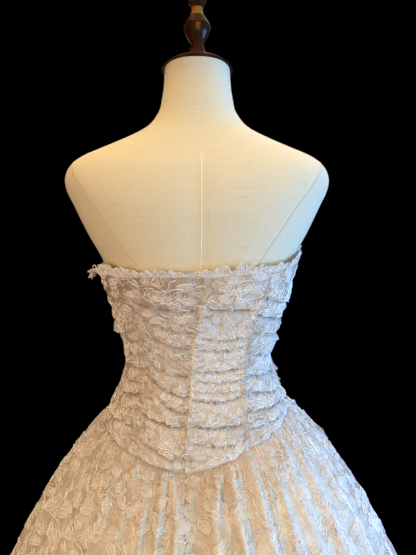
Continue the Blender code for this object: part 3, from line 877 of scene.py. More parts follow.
# Columns: radius, height.
urn = [
    (0.0081, 1.561), (0.0081, 1.558), (0.0085, 1.556), (0.0097, 1.5532), (0.0113, 1.5505),
    (0.0134, 1.5477), (0.016, 1.5441), (0.018, 1.541), (0.0191, 1.5388), (0.0192, 1.538),
    (0.0186, 1.5372), (0.0195, 1.536), (0.0195, 1.534), (0.0188, 1.5307), (0.0169, 1.5256),
    (0.0141, 1.5204), (0.0113, 1.5157), (0.0094, 1.513), (0.0099, 1.512), (0.01, 1.5108),
    (0.0093, 1.5098), (0.0104, 1.5086), (0.0111, 1.5072), (0.0105, 1.5058), (0.0116, 1.504),
    (0.0128, 1.5005), (0.0135, finial_low),
]
finial = turned("finial", [(0.0, FINIAL_TOP), *ball[1:], *urn, (0.0, finial_low)], NECK_FORWARD, 2)
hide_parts("form_finial")
print("neck:", triangles(cap), "triangles of cap and", triangles(finial), "of finial")

# %% [markdown]
# Under the skirt the stand is plain: a plate below the torso, a pole, and a round base with a boss.

# %% Plate, pole and base
BASE_RADIUS = 0.18
BASE_THICKNESS = 0.016
BOSS_RADIUS = 0.034
BOSS_HEIGHT = 0.062
POLE_RADIUS = 0.016
COLLAR = POLE_RADIUS + 0.012
PLATE_RADIUS = 0.088
PLATE_THICKNESS = 0.012

plate_top = FORM_SECTIONS[0][0] - SEAM_GAP
plate_low = plate_top - PLATE_THICKNESS
plate_profile = [
    (0.0, plate_top), (PLATE_RADIUS, plate_top), (PLATE_RADIUS, plate_low + 0.004),
    (PLATE_RADIUS - 0.0012, plate_low + 0.0012), (PLATE_RADIUS - 0.004, plate_low), (0.0, plate_low),
]
plate = turned("bottom_plate", plate_profile)
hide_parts("form_bottom_plate")

pole_top = plate_low - SEAM_GAP
pole_low = BOSS_HEIGHT + SEAM_GAP
pole_profile = [
    (0.0, pole_top), (COLLAR, pole_top), (COLLAR, pole_top - 0.01), (COLLAR, pole_top - 0.02),
    (POLE_RADIUS + 0.004, pole_top - 0.034), (POLE_RADIUS, pole_top - 0.06), (POLE_RADIUS, pole_low + 0.06),
    (POLE_RADIUS + 0.003, pole_low + 0.03), (POLE_RADIUS + 0.006, pole_low), (0.0, pole_low),
]
pole = turned("pole", pole_profile)
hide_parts("form_pole")

base_profile = [
    (0.0, BOSS_HEIGHT), (BOSS_RADIUS - 0.005, BOSS_HEIGHT), (BOSS_RADIUS - 0.0012, BOSS_HEIGHT - 0.0018),
    (BOSS_RADIUS, BOSS_HEIGHT - 0.006), (BOSS_RADIUS, BASE_THICKNESS + 0.024),
    (BOSS_RADIUS + 0.004, BASE_THICKNESS + 0.0165), (BOSS_RADIUS + 0.016, BASE_THICKNESS + 0.013),
    (BASE_RADIUS * 0.6, BASE_THICKNESS + 0.008), (BASE_RADIUS - 0.008, BASE_THICKNESS),
    (BASE_RADIUS - 0.002, BASE_THICKNESS - 0.0025), (BASE_RADIUS, BASE_THICKNESS - 0.006),
    (BASE_RADIUS, 0.003), (BASE_RADIUS - 0.003, 0.0), (0.0, 0.0),
]
base = turned("base", base_profile)
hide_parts("form_base")
print("stand:", sum(triangles(piece) for piece in (plate, pole, base)), "triangles in three pieces")

# %% [markdown]
# ## The bodice
# Seven panels of satin are fitted to the body, and seven panels of lace are gathered over them. A place on the
# bodice is a panel position, 0 at the centre back and 1 more at each seam to the right, and the share of the
# way down from the neckline to the waist seam.

# %% The bodice's surface
PANELS = (
    "back_right",
    "side_back_right",
    "side_front_right",
    "front",
    "side_front_left",
    "side_back_left",
    "back_left",
)
ROUND = float(len(PANELS))  # panel positions once round the body


def seam_turns(down):
    """Angles of the eight seams from the centre back right round to it again, (..., 8)."""
    back, front, drift = (smooth_column(SEAM_TURNS, column, down) for column in (1, 2, 3))
    return np.stack(
        [
            drift,
            drift / 2 + back + smooth_column(RIGHT_SEAM_DRIFT, 1, down),
            SIDE_TURN + 0.0 * drift,
            180.0 - front,
            180.0 + front,
            360.0 - SIDE_TURN + 0.0 * drift,
            360.0 + drift / 2 - back,
            360.0 + drift,
        ],
        axis=-1,
    )


def bodice_turn(position, down):
    """Angle at a panel position, which goes evenly across each panel from seam to seam."""
    position, down = np.broadcast_arrays(np.asarray(position, dtype=float), np.clip(down, 0.0, 1.0))
    laps = np.floor(position / ROUND)
    local = position - ROUND * laps
    panel = np.clip(np.floor(local).astype(int), 0, len(PANELS) - 1)
    seams = seam_turns(down)
    start = np.take_along_axis(seams, panel[..., None], -1)[..., 0]
    end = np.take_along_axis(seams, panel[..., None] + 1, -1)[..., 0]
    return start + (end - start) * (local - panel) + 360.0 * laps


def bodice_point(position, down, out, sag=0.0):
    """The point at a place on the bodice, this far out from the form and this far below its own height."""
    turn = bodice_turn(position, down)
    top = neckline(turn)
    height = top + (waist_seam(turn) - top) * down
    return body_point(turn, height - sag, out)


# %% [markdown]
# ### Ruching
# The lace is cut longer than its panel and gathered into the seams, so it stands off the satin in soft rolls,
# with creases between them that start at a seam and die away. The rolls are a map of heights over the bodice:
# an even puff into which each crease cuts a groove. A simulation would not put them where the real ones are.

# %% Creases placed one by one
# Columns: position and share down at its start, the same at its end, depth from 0 to 1, half width in mm.
CREASES = (
    # centre back to right princess seam
    (0, 0.085, 0.7, 0.1, 0.45, 3), (0, 0.165, 0.98, 0.212, 0.98, 3.6), (0.02, 0.206, 0.36, 0.262, 0.7, 3),
    (0.45, 0.285, 1, 0.292, 0.55, 2.6), (0, 0.325, 1, 0.37, 0.95, 3.2), (0, 0.385, 1, 0.424, 0.95, 2.8),
    (0.1, 0.445, 0.95, 0.49, 0.5, 2.4), (0, 0.495, 1, 0.56, 0.98, 3), (0, 0.55, 1, 0.628, 0.85, 2.6),
    (0, 0.6, 1, 0.68, 0.8, 2.6), (0, 0.645, 0.96, 0.722, 0.95, 2.8), (0, 0.77, 1, 0.86, 1, 4),
    (0.05, 0.855, 0.8, 0.93, 0.85, 3),
    # left princess seam to centre back
    (-0.95, 0.06, -0.05, 0.076, 0.8, 3.4), (-1, 0.15, 0, 0.178, 0.98, 3.6), (-0.6, 0.215, 0, 0.232, 0.5, 2.6),
    (-1, 0.235, 0, 0.292, 0.95, 3.2), (-1, 0.325, 0, 0.38, 0.98, 3), (-0.98, 0.42, 0, 0.432, 0.75, 2.8),
    (-1, 0.5, 0, 0.534, 0.92, 3.2), (-1, 0.596, 0, 0.634, 1, 3.4), (-0.72, 0.672, 0, 0.716, 0.9, 3),
    (-1.05, 0.78, 0, 0.78, 0.98, 3.8), (-0.9, 0.895, 0, 0.945, 0.85, 3.6),
    # left side seam to left princess seam
    (-2, 0.09, -1, 0.07, 0.55, 3), (-2, 0.165, -1, 0.125, 0.95, 3.4), (-1.95, 0.21, -1, 0.2, 0.8, 3),
    (-1.62, 0.3, -1, 0.262, 0.6, 3), (-2, 0.44, -1.02, 0.29, 1, 3.6), (-1.75, 0.43, -1, 0.37, 0.85, 3),
    (-2, 0.505, -1, 0.45, 0.8, 3.2), (-2, 0.6, -1, 0.528, 0.95, 3.4), (-1.8, 0.68, -1, 0.61, 0.8, 3),
    (-2, 0.8, -1.1, 0.692, 1, 4), (-1.9, 0.86, -1, 0.76, 0.75, 3.4), (-2, 0.925, -1.02, 0.86, 0.9, 3.8),
    # right princess seam to right side seam
    (1, 0.06, 1.95, 0.12, 0.6, 3.2), (1, 0.15, 2, 0.285, 1, 3.8), (1.05, 0.215, 1.6, 0.3, 0.5, 2.6),
    (1, 0.245, 2, 0.402, 1, 3.6), (1, 0.355, 2, 0.505, 0.98, 3.6), (1, 0.425, 1.55, 0.52, 0.6, 2.8),
    (1, 0.48, 2, 0.64, 0.9, 3.4), (1, 0.56, 1.7, 0.68, 0.6, 2.8), (1, 0.612, 2, 0.752, 1, 3.6),
    (1, 0.715, 2, 0.86, 0.95, 3.6), (1, 0.81, 1.95, 0.925, 0.95, 3.8), (1, 0.9, 1.9, 0.968, 0.8, 3.2),
    # right side seam to right front princess seam
    (2, 0.11, 3, 0.09, 0.8, 3.4), (2, 0.205, 3, 0.17, 0.95, 3.6), (2.1, 0.3, 3, 0.245, 0.85, 3),
    (2, 0.4, 3, 0.33, 0.98, 3.6), (2, 0.49, 2.95, 0.43, 0.85, 3.2), (2, 0.59, 3, 0.52, 0.95, 3.4),
    (2, 0.69, 3, 0.625, 0.9, 3.4), (2, 0.79, 3, 0.73, 0.98, 3.6), (2.05, 0.89, 3, 0.85, 0.9, 3.6),
    # centre front
    (3, 0.08, 4, 0.095, 0.8, 3.4), (3, 0.175, 4, 0.16, 0.95, 3.4), (3, 0.25, 3.7, 0.275, 0.8, 3),
    (3, 0.345, 4, 0.335, 0.98, 3.6), (3.3, 0.42, 4, 0.405, 0.8, 3), (3, 0.485, 4, 0.5, 0.95, 3.4),
    (3, 0.58, 4, 0.59, 0.9, 3.2), (3, 0.675, 4, 0.69, 0.98, 3.6), (3, 0.78, 4, 0.77, 0.95, 3.6),
    (3, 0.885, 4, 0.88, 0.9, 3.8),
    # left front princess seam to left side seam
    (4, 0.095, 5, 0.11, 0.8, 3.4), (4, 0.165, 5, 0.19, 0.95, 3.6), (4, 0.26, 4.9, 0.3, 0.85, 3),
    (4, 0.335, 5, 0.39, 0.98, 3.6), (4, 0.44, 5, 0.48, 0.85, 3.2), (4, 0.53, 5, 0.58, 0.95, 3.4),
    (4, 0.64, 5, 0.67, 0.9, 3.4), (4, 0.735, 5, 0.79, 0.98, 3.6), (4, 0.86, 4.95, 0.9, 0.9, 3.6),
)
print("creases:", len(CREASES))

# %% [markdown]
# Some rolls stand off further, above all at the sides, where they make the outline. A negative height holds the
# lace in between two of them.

# %% Tufts placed one by one
# Columns: position, share down, half width and half height in mm, extra height in mm.
TUFTS = (
    (1.78, 0.09, 14, 8, 1), (1.8, 0.262, 12, 3.4, 5.5), (1.8, 0.322, 15, 4.5, -6), (1.82, 0.384, 10, 2.8, 5.5),
    (1.82, 0.448, 18, 7, -8), (1.82, 0.5, 10, 2.8, 6), (1.82, 0.61, 20, 16, -8), (1.8, 0.708, 9, 2.8, 9.5),
    (1.78, 0.77, 14, 6, -4.5), (1.78, 0.88, 14, 8, 4), (1.5, 0.805, 14, 8, 4), (1.45, 0.9, 14, 8, 3),
    (-1.78, 0.1, 14, 8, 4), (-1.8, 0.235, 18, 9, -5.5), (-1.81, 0.372, 14, 6, 5.5), (-1.82, 0.465, 22, 8, -7),
    (-1.81, 0.555, 22, 8, -6), (-1.8, 0.66, 22, 10, -6.5), (-1.78, 0.765, 22, 13, -6.5),
    (-1.74, 0.93, 16, 7, 3.5), (0.45, 0.12, 20, 9, 2.5), (-0.45, 0.115, 20, 7, 2), (0.5, 0.93, 26, 7, 1.5),
    (-0.4, 0.86, 24, 8, 2), (2.35, 0.34, 14, 8, 4), (2.5, 0.64, 14, 8, 4), (3.5, 0.415, 20, 8, 2.5),
    (4.6, 0.28, 14, 8, 4), (4.5, 0.72, 14, 8, 4),
)
print("tufts:", len(TUFTS))

# %% [markdown]
# The map's columns go once round the body and its rows go down from the neckline. A crease is a line across
# it that hangs a little between its two ends, with a bell for its section.

# %% The map and one crease
BODICE_LENGTH = 0.245  # from neckline to waist seam, on average
PANEL_WIDTH = 0.092  # from seam to seam, on average
CREASE_WIDTH = 0.8
CREASE_BOW = 0.012  # how far a crease hangs in its middle, as a share of the bodice's length
MAP_COLUMNS = 96 * len(PANELS)
MAP_ROWS = 360

map_position = np.arange(MAP_COLUMNS)[None, :] * ROUND / MAP_COLUMNS
map_down = np.linspace(0.0, 1.0, MAP_ROWS)[:, None]


def round_gap(position, other):
    """Signed distance between panel positions, the short way round."""
    return (position - other + ROUND / 2) % ROUND - ROUND / 2


def groove(start, start_down, end, end_down, depth, width, fade=0.1):
    """One crease on the map: depth times a bell across it, easing in and out at its two ends."""
    along = round_gap(map_position, start % ROUND) / (end - start)
    line = start_down + (end_down - start_down) * along + 4.0 * CREASE_BOW * along * (1.0 - along)
    off = (map_down - line) * BODICE_LENGTH / (CREASE_WIDTH * width * MM)
    ends = ease_in((along + fade) / (2 * fade)) * ease_in((1.0 + fade - along) / (2 * fade))
    return depth * np.exp(-(off**2)) * ends


print("map:", MAP_ROWS, "rows of", MAP_COLUMNS)

# %% [markdown]
# The puff is lower along the seams, where the lace is sewn down, and a few waves make it uneven. All that is
# drawn at random on the gown comes from one seeded list, so each run gives the same lace.

# %% An even puff and its tufts
PUFF = 5.5 * MM  # how far the lace stands off between creases
PUFF_AT_SEAM = 0.45
# Columns: how many waves there are round the body, how many down it, and their height as a share of the puff.
PUFF_WAVES = ((5, 3.1, 0.16), (11, 5.3, 0.12), (23, 9.7, 0.1), (37, 17.0, 0.08))

rng = np.random.default_rng(41)
angle_round = 2 * np.pi * map_position / ROUND
uneven = 1.0
for waves_round, waves_down, amount in PUFF_WAVES:
    phase = rng.uniform(0.0, 2 * np.pi, 2)
    swirl = np.sin(2 * np.pi * waves_down * map_down + phase[1] + 1.3 * np.sin(3 * angle_round))
    uneven = uneven + amount * np.sin(waves_round * angle_round + phase[0]) * swirl
rolls = PUFF * uneven * towards(PUFF_AT_SEAM, 1.0, np.sin(np.pi * (map_position % 1.0)) ** 0.6)
for position, share_down, half_width, half_height, extra in TUFTS:
    aside = round_gap(map_position, position % ROUND) * PANEL_WIDTH / (half_width * MM)
    above = (map_down - share_down) * BODICE_LENGTH / (half_height * MM)
    rolls = rolls + extra * MM * np.exp(-(aside**2) - above**2)
rolls = np.maximum(rolls, 0.0)
print("puff: up to", round(rolls.max() / MM, 1), "mm")

# %% [markdown]
# Each crease lowers the rolls to nothing along its line. Short puckers run into every seam from both sides, and
# the seam stands up between them. A second map keeps how hard the lace is drawn in: its finish is closer and painted
# in shade there.

# %% Creases and puckers
PUCKER_APART = 7.5 * MM
SEAM_RIDGE = 1.0 * MM  # how far the seam stands up between the puckers that run into it
SEAM_RIDGE_WIDTH = 1.6 * MM
EDGE_HELD = 0.022  # how much of the length is held down at the neckline and at the waist seam

# The drawn map is also painted shade: a thin dark line along each crease and a fainter one along each pucker.
drawn = np.zeros_like(rolls)
for crease in CREASES:
    shape = groove(*crease)
    rolls = rolls * (1.0 - shape)
    drawn = np.maximum(drawn, shape**4)
puckers = 0
for seam in range(len(PANELS)):
    place = 0.01
    while place < 0.99:
        for side in (-1.0, 1.0):
            end = seam + side * rng.uniform(0.08, 0.22)
            end_down = place + rng.uniform(-0.012, 0.012)
            shape = groove(seam, place, end, end_down, rng.uniform(0.35, 0.8), rng.uniform(1.2, 1.9), 0.3)
            rolls = rolls * (1.0 - shape)
            drawn = np.maximum(drawn, 0.5 * shape)
            puckers += 1
        place += PUCKER_APART / BODICE_LENGTH * rng.uniform(0.7, 1.3)
seam_gap = np.abs((map_position + 0.5) % 1.0 - 0.5) * PANEL_WIDTH
ridge = np.exp(-((seam_gap / SEAM_RIDGE_WIDTH) ** 2))
edges = ease_in(map_down / EDGE_HELD + 0.2) * ease_in((1.0 - map_down) / EDGE_HELD)
rolls = (rolls + SEAM_RIDGE * ridge) * edges
drawn = drawn * (1.0 - ridge)
print("ruching:", len(CREASES), "creases and", puckers, "puckers, up to", round(rolls.max() / MM, 1), "mm")

# %% [markdown]
# The lace's surface is the body with the map's height added outwards. What stands off also sags, so a roll
# hangs over the crease under it. Bones in the seams hold the lace out, so each panel is a little hollow.

# %% The lace's surface on the bodice
SAG = 0.54  # how far a roll hangs below its crease, as a share of its height
FLAT_IN_CREASE = 0.8 * MM  # how far a crease goes in below the flat lace
HEM_OUT, HEM_DOWN = 1.6 * MM, 1.8 * MM
# How far the boned seams stand out from the middle of each panel, as the lace is stretched flat between them.
FACETS = np.array((0.0056, 0.0035, 0.001, 0.0, 0.001, 0.0025, 0.0036))
NECK_SHADE, NECK_REACH = 0.62, 0.22  # how dense the net is along the neckline and how darkly it is painted in shade there, and how far down


def read_map(heights, row, column):
    """A map's height at fractional rows and columns, from the four values round each place."""
    rows, columns = heights.shape
    row, column = np.clip(row, 0.0, rows - 1.001), column % columns
    i, j = np.floor(row).astype(int), np.floor(column).astype(int)
    y, x = row - i, column - j
    k = (j + 1) % columns
    upper = heights[i, j] * (1 - x) + heights[i, k] * x
    lower = heights[i + 1, j] * (1 - x) + heights[i + 1, k] * x
    return upper * (1 - y) + lower * y


def on_bodice_map(position, down):
    """The row and column of the map at a place on the bodice."""
    return np.clip(down, 0.0, 1.0) * (MAP_ROWS - 1), position * MAP_COLUMNS / ROUND


def bodice_gathers_and_shade(position, down):
    """How hard the lace is gathered at a place on the bodice, from 0 to 1, which the finishes also paint as shade."""
    return read_map(drawn, *on_bodice_map(position, down))


def bodice_net_gathers_and_shade(position, down):
    """The net alone is also made denser along the neckline and painted in shade there, most at the back's left."""
    # Painted shade along the neckline: strongest at the back's left, weaker towards the right.
    shade_to_left = 0.64 - 0.36 * np.tanh(round_gap(position, 0.0) / 0.7)
    neck = NECK_SHADE * np.exp(-((down / NECK_REACH) ** 2)) * shade_to_left
    return np.maximum(bodice_gathers_and_shade(position, down), neck)


def bodice_lace_point(position, down, lift=0.0):
    """The lace's outer face: the map's height above the flat lace, and its sag below its own height."""
    position, down = np.broadcast_arrays(np.asarray(position, dtype=float), np.clip(down, 0.0, 1.0))
    height = read_map(rolls, *on_bodice_map(position, down))
    sag = SAG * height * np.clip((1.0 - down) / 0.08, 0.0, 1.0)
    hem = ease_in((down - 0.965) / 0.035)
    facet = FACETS[np.floor(position).astype(int) % len(PANELS)] * ease_in(down / 0.2) * ease_in((0.96 - down) / 0.14)
    facet = facet * (2.0 * (position % 1.0) - 1.0) ** 2
    out = LACE_OUT - FLAT_IN_CREASE + height + HEM_OUT * hem + facet + lift
    return bodice_point(position, down, out, sag + HEM_DOWN * hem)


print("lace: sags by up to", round(SAG * rolls.max() / MM, 1), "mm")

# %% [markdown]
# Panels of satin stop just short of each other, and panels of net lap a little, so no gap opens between them.

# %% Foundation and lace panels
PANEL_INSET = 0.0035  # leaves the width of a seam between neighbours, as a share of a panel
SATIN_COLUMNS = 13
SATIN_ROWS = 37
NET_COLUMNS = 33
NET_ROWS = 121
FINE_COLUMNS = 49  # for the four panels at the back
FINE_ROWS = 171
LAP = 0.022  # how far each lace panel laps over the one before it, as a share of a panel
LAP_LIFT = 0.7 * MM
DOUBLED_AND_PAINTED_LIGHT = (0.9, 0.35, 0.25, 0.2, 0.2, 0.1, 0.22)  # how far each panel of lace lies double and is painted paler, partly as painted light


def panel_grid(number, columns, rows, lap=-PANEL_INSET):
    """Panel positions and shares down of a panel's grid."""
    position = number + np.linspace(-lap, 1.0 - PANEL_INSET, columns)
    return position[None, :], np.linspace(0.0, 1.0, rows)[:, None]


foundation, bodice_nets = {}, {}
for number, panel in enumerate(PANELS):
    position, down = panel_grid(number, SATIN_COLUMNS, SATIN_ROWS)
    points = bodice_point(position, down, EASE + FOUNDATION_WALL)
    foundation[panel] = cloth(f"foundation_{panel}", points, FOUNDATION_WALL, satin.material, "peach_satin")
    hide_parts(f"bodice_foundation_{panel}")
    columns, rows = (FINE_COLUMNS, FINE_ROWS) if "back" in panel else (NET_COLUMNS, NET_ROWS)
    position, down = panel_grid(number, columns, rows, LAP)
    points = bodice_lace_point(position, down, LAP_LIFT * (1.0 - ease_in((position - number) / LAP)))
    bodice_nets[panel] = cloth(f"bodice_net_{panel}", points, NET_WALL, bodice_net, "champagne_lace")
    mark(bodice_nets[panel], "gathered", bodice_net_gathers_and_shade(*np.broadcast_arrays(position, down)))
    # Lace that lies double is painted paler. The high value on the back right panel and the extra along the hem are
    # also painted light.
    doubled = DOUBLED_AND_PAINTED_LIGHT[number] * towards(0.35, 1.0, np.exp(-(((down - 0.5) / 0.24) ** 2)))
    mark(bodice_nets[panel], "bunched", doubled + 0.4 * ease_in((down - 0.93) / 0.05) + 0.0 * position)
    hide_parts(f"bodice_lace_{panel}")
print("bodice:", sum(triangles(piece) for piece in bodice_nets.values()), "triangles of net in seven panels")

# %% [markdown]
# ## Motifs
# The lace is an all-over pattern of sprays: a curved stem with eight leaves, two flowers and two tendrils, all
# common garden forms. A spray is drawn flat, in millimetres, and then laid on the folded lace.

# %% The parts of one spray
# Columns: where it joins the stem, direction in degrees clockwise from the right, length, width, bend.
LEAVES = (
    (-3, -45, 212, 25, 15, 3), (5, -36, -30, 27, 16, -3), (-4, -20, 165, 24, 14, -3), (5, -4, 8, 25, 14.5, 2.5),
    (-3, 10, 196, 25, 15, 3), (4, 20, -22, 24, 14, -2), (-4, 44, 160, 21, 13, 2), (3, 38, 52, 22, 13.5, -2),
)
# Columns: centre, radius, number of petals.
FLOWERS = ((-21, 27, 12.5, 5), (25, -19, 10.5, 5))
STEM = ((8, -56), (-3, -44), (5, -30), (-5, -10), (7, 8), (-4, 26), (4, 40), (-6, 56))
TENDRILS = (
    ((5, -30), (14, -30), (21, -25), (25, -19)), ((-4, 26), (8, 30), (18, 27), (24, 34)),
)
print("spray:", len(LEAVES), "leaves and", len(FLOWERS), "flowers")

# %% [markdown]
# A leaf is a bowed midrib with a half width along it and a wavy cord round it. A flower is a ring of petals in a
# scalloped cord.

# %% Drawing the spray
BLADE_POINTS = 5
RIM_POINTS = 10
PETAL_POINTS = 4
LEAF_WIDEST, PETAL_WIDEST = 0.8, 1.25  # 1 is widest in the middle, and less is nearer the base
RIM_WAVE = 0.08


def heading(direction):
    """The unit vector in this direction, in degrees, and the one to its left."""
    ahead = np.array([math.cos(math.radians(direction)), math.sin(math.radians(direction))])
    return ahead, np.array([-ahead[1], ahead[0]])


def half_width(width, share, widest):
    """Half of a leaf's width along its midrib: sin(pi s^widest), a little blunter at the tip."""
    return 0.5 * width * np.sin(np.pi * share**widest) ** 0.85


def blade(x, y, direction, length, width, bend, points, widest):
    """A leaf's midrib and half widths: the midrib bows sideways by bend sin(pi s)."""
    share = np.linspace(0.0, 1.0, points)
    ahead, aside = heading(direction)
    midrib = np.array([x, y]) + length * share[:, None] * ahead + bend * np.sin(np.pi * share)[:, None] * aside
    return midrib, half_width(width, share, widest)


def outline(x, y, direction, length, width, bend):
    """The closed line round a leaf: out along one side and back along the other, in wavy lobes."""
    out = np.linspace(0.0, 1.0, RIM_POINTS // 2 + 1)
    share = np.concatenate([out, out[-2:0:-1]])
    side = np.where(np.arange(RIM_POINTS) < RIM_POINTS // 2, 1.0, -1.0)
    ahead, aside = heading(direction)
    half = half_width(width, share, LEAF_WIDEST) * (1.0 + RIM_WAVE * np.sin(5 * np.pi * share + side))
    line = np.array([x, y]) + length * share[:, None] * ahead
    return line + (bend * np.sin(np.pi * share) + side * half)[:, None] * aside


def spray():
    """The flat spray, in metres: for each kind of stroke an array (strokes, points, 2), with half widths."""
    blades = [blade(*leaf, BLADE_POINTS, LEAF_WIDEST) for leaf in LEAVES]
    petals, rosettes, eyes = [], [], []
    for x, y, radius, number in FLOWERS:
        centre = np.array([x, y])
        for angle in 360.0 * np.arange(number) / number + 18.0:
            base = centre + 0.18 * radius * heading(angle)[0]
            petals.append(blade(*base, angle, 0.85 * radius, 0.95 * radius, 0.0, PETAL_POINTS, PETAL_WIDEST))
        around = 2 * np.pi * np.arange(4 * number) / (4 * number)
        scallop = radius * (0.64 + 0.42 * np.abs(np.cos(0.5 * number * around)))
        around = around + math.radians(18.0)
        ring = np.stack([np.cos(around), np.sin(around)], -1)
        rosettes.append(centre + scallop[:, None] * ring)
        eyes.append(centre + 0.24 * radius * ring[::3])
    strokes = {
        "rims": [outline(*leaf) for leaf in LEAVES],
        "rosettes": rosettes,
        "eyes": eyes,
        "veins": [midrib[:-1] for midrib, half in blades],
        "stem": [resample(STEM, 18)],
        "tendrils": [resample(line, 5) for line in TENDRILS],
    }
    strokes = {kind: np.array(lines) * MM for kind, lines in strokes.items()}
    for kind, leaves in (("blades", blades), ("petals", petals)):
        strokes[kind] = tuple(np.array(part) * MM for part in zip(*leaves))
    return strokes


SPRAY = spray()
SPRAY_WIDTH, SPRAY_HEIGHT = 0.074, 0.104
print("spray:", {kind: len(strokes[0] if isinstance(strokes, tuple) else strokes) for kind, strokes in SPRAY.items()})

# %% [markdown]
# Every stroke is carried to its place in the surface's own two parameters, and goes in where it passes a seam.

# %% Laying sprays on a folded surface
SEAM_TUCK = 4.0 * MM  # how far a stroke goes in where it would run past the seam
TUCK_LENGTH = 0.003  # over this much of the second parameter
THREE_CORNERS = math.cos(math.radians(30.0))  # half the side of a three-cornered section, for a radius of 1
FINEST = 0.2 * MM
VEIN_SIDE = 0.7  # a vein's thickness next to the other cords'
SHARP_PETALS = math.radians(60.0)  # edges sharper than this show, which are the petals' rims
CLOSED_STROKES = ("rims", "rosettes", "eyes")


def lay(strokes, centres, surface, normals, lift):
    """Flat strokes carried to each centre and laid on a surface: points, normals, places, and 0 past the seam.

    A centre is (first, second, metres per unit of first, metres per unit of second, turn, scale, mirror),
    and a stroke's (p, q) becomes first + p' / m1, second + q' / m2, with (p', q') the turned stroke.
    """
    first, second, per_first, per_second, turn, scale, mirror = (centres[:, k, None, None] for k in range(7))
    p = strokes[None, ..., 0] * scale * mirror
    q = strokes[None, ..., 1] * scale
    along = p * np.cos(turn) - q * np.sin(turn)
    down = p * np.sin(turn) + q * np.cos(turn)
    a = (first + along / per_first).reshape(-1, strokes.shape[1])
    b = (second + down / per_second).reshape(-1, strokes.shape[1])
    normal = normals(a, b)
    past = np.clip(np.maximum(-b, b - 1.0) / TUCK_LENGTH, 0.0, 1.0)
    return surface(a, b) + (lift - SEAM_TUCK * past)[..., None] * normal, normal, (a, b), 1.0 - past


def laid_sprays(centres, surface, normals, gathers_and_shade, cord, thick, plain=False):
    """The darned blades and the cords of many sprays on one surface.

    Each of the two is its points, its faces, and how hard the lace is gathered at each point, for its painted shade.
    """
    darned, corded = ("blades", "petals"), (*CLOSED_STROKES, "stem", "tendrils", *(() if plain else ("veins",)))
    laid = []
    for kinds, lift in ((darned, thick), (corded, cord)):
        parts, marks = [], []
        for kind in kinds:
            lines, half = SPRAY[kind] if kinds is darned else (SPRAY[kind], None)
            path, normal, places, shown = lay(lines, centres, surface, normals, lift)
            side = cord * (VEIN_SIDE if kind == "veins" else 1.0)
            if kinds is darned:
                widths = (half[None] * centres[:, 5, None, None]).reshape(-1, half.shape[1]) / THREE_CORNERS
                side = np.maximum(widths * shown, FINEST)
            parts.append(swept(path, normal, side, lift, 3, kind in CLOSED_STROKES))
            marks.append(np.repeat(gathers_and_shade(*places).ravel(), 3))
        laid.append((*gather(parts), np.concatenate(marks)))
    return laid


def put_sprays(part, panel, darning, cords, petals):
    """One panel's cords and petals, as two pieces that are marked with how hard the lace is gathered, for their
    painted shade.
    """
    pieces = []
    for kind, (points, faces, marks), finish in (("petals", darning, petals), ("cords", cords, lace_cord)):
        piece = put_mesh(f"{part}_{kind}_{panel}", points, faces, finish, "champagne_lace")
        mark(piece, "gathered", marks)
        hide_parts(f"{part}_lace_{panel}")
        pieces.insert(0, piece)
    pieces[1].data.set_sharp_from_angle(angle=SHARP_PETALS)
    return pieces


# %% [markdown]
# On the bodice the sprays are smaller and turned every way, because the lace there is crumpled by its gathers.

# %% Sprays on the bodice
BODICE_SPRAY_SCALE = 0.72
BODICE_CORD = 0.74 * MM
BODICE_DARNING = 0.4 * MM
ACROSS_STEP, DOWN_STEP = 0.004, 0.003
CLOSE_ACROSS, CLOSE_DOWN = 0.8, 0.55  # the lattice's steps, as shares of a spray's width and height
SPRAY_SHORTER = 1.35  # the sprays are drawn together down the bodice, as the lace is


def bodice_normals(position, down):
    """Outward normals of the lace on the bodice."""
    return surface_normals(bodice_lace_point, position, down, ACROSS_STEP, DOWN_STEP)


def bodice_lattice(number):
    """Centres of the sprays of one panel: a jittered half-drop lattice."""
    spots = []
    middle = bodice_point(number + np.array([0.0, 1.0]), np.array([0.5, 0.5]), LACE_OUT)
    width = np.linalg.norm(middle[1] - middle[0])
    columns = max(1, round(width / (SPRAY_WIDTH * BODICE_SPRAY_SCALE * CLOSE_ACROSS)))
    rows = round(BODICE_LENGTH / (SPRAY_HEIGHT * BODICE_SPRAY_SCALE * CLOSE_DOWN))
    for column in range(columns):
        for row in range(rows):
            share = (row + 0.25 + 0.5 * (column % 2) + rng.uniform(-0.15, 0.15)) / rows
            across = (column + 0.5 + rng.uniform(-0.28, 0.28)) / columns
            turn, size = rng.uniform(-np.pi, np.pi), BODICE_SPRAY_SCALE * rng.uniform(0.85, 1.15)
            mirror = rng.choice((-1.0, 1.0))
            spots.append((number + across, share, width, BODICE_LENGTH * SPRAY_SHORTER, turn, size, mirror))
    return np.array(spots)


bodice_sprays = {}
for number, panel in enumerate(PANELS):
    laid = laid_sprays(
        bodice_lattice(number), bodice_lace_point, bodice_normals, bodice_gathers_and_shade, BODICE_CORD, BODICE_DARNING, True
    )
    bodice_sprays[panel] = put_sprays("bodice", panel, *laid, bodice_petals)
print("bodice sprays:", sum(triangles(piece) for pair in bodice_sprays.values() for piece in pair), "triangles")

# %% [markdown]
# ### Seam stitches
# The seams are sewn with coral thread, which shows where the lace is drawn in hard: along the right princess
# seam and the right half of the waist seam. Elsewhere it is only a short stitch here and there.

# %% Seam stitches
STITCH = 3.4 * MM
STITCH_GAP = 1.6 * MM
STITCH_WAVER = 0.007  # of a panel
STITCH_RISE = 0.4 * MM
THREAD = 0.55 * MM
# Columns: position and share down at a run's start, the same at its end, thickness next to the plain thread.
SEAM_RUNS = (
    (1, 0.1, 1, 0.93, 1.8), (0, 0.12, 0, 0.2, 1.4), (0, 0.45, 0, 0.52, 1.4), (2, 0.3, 2, 0.6, 1),
    (3, 0.2, 3, 0.7, 1), (4, 0.3, 4, 0.8, 1), (0.45, 0.994, 1.7, 0.994, 1.7),
)


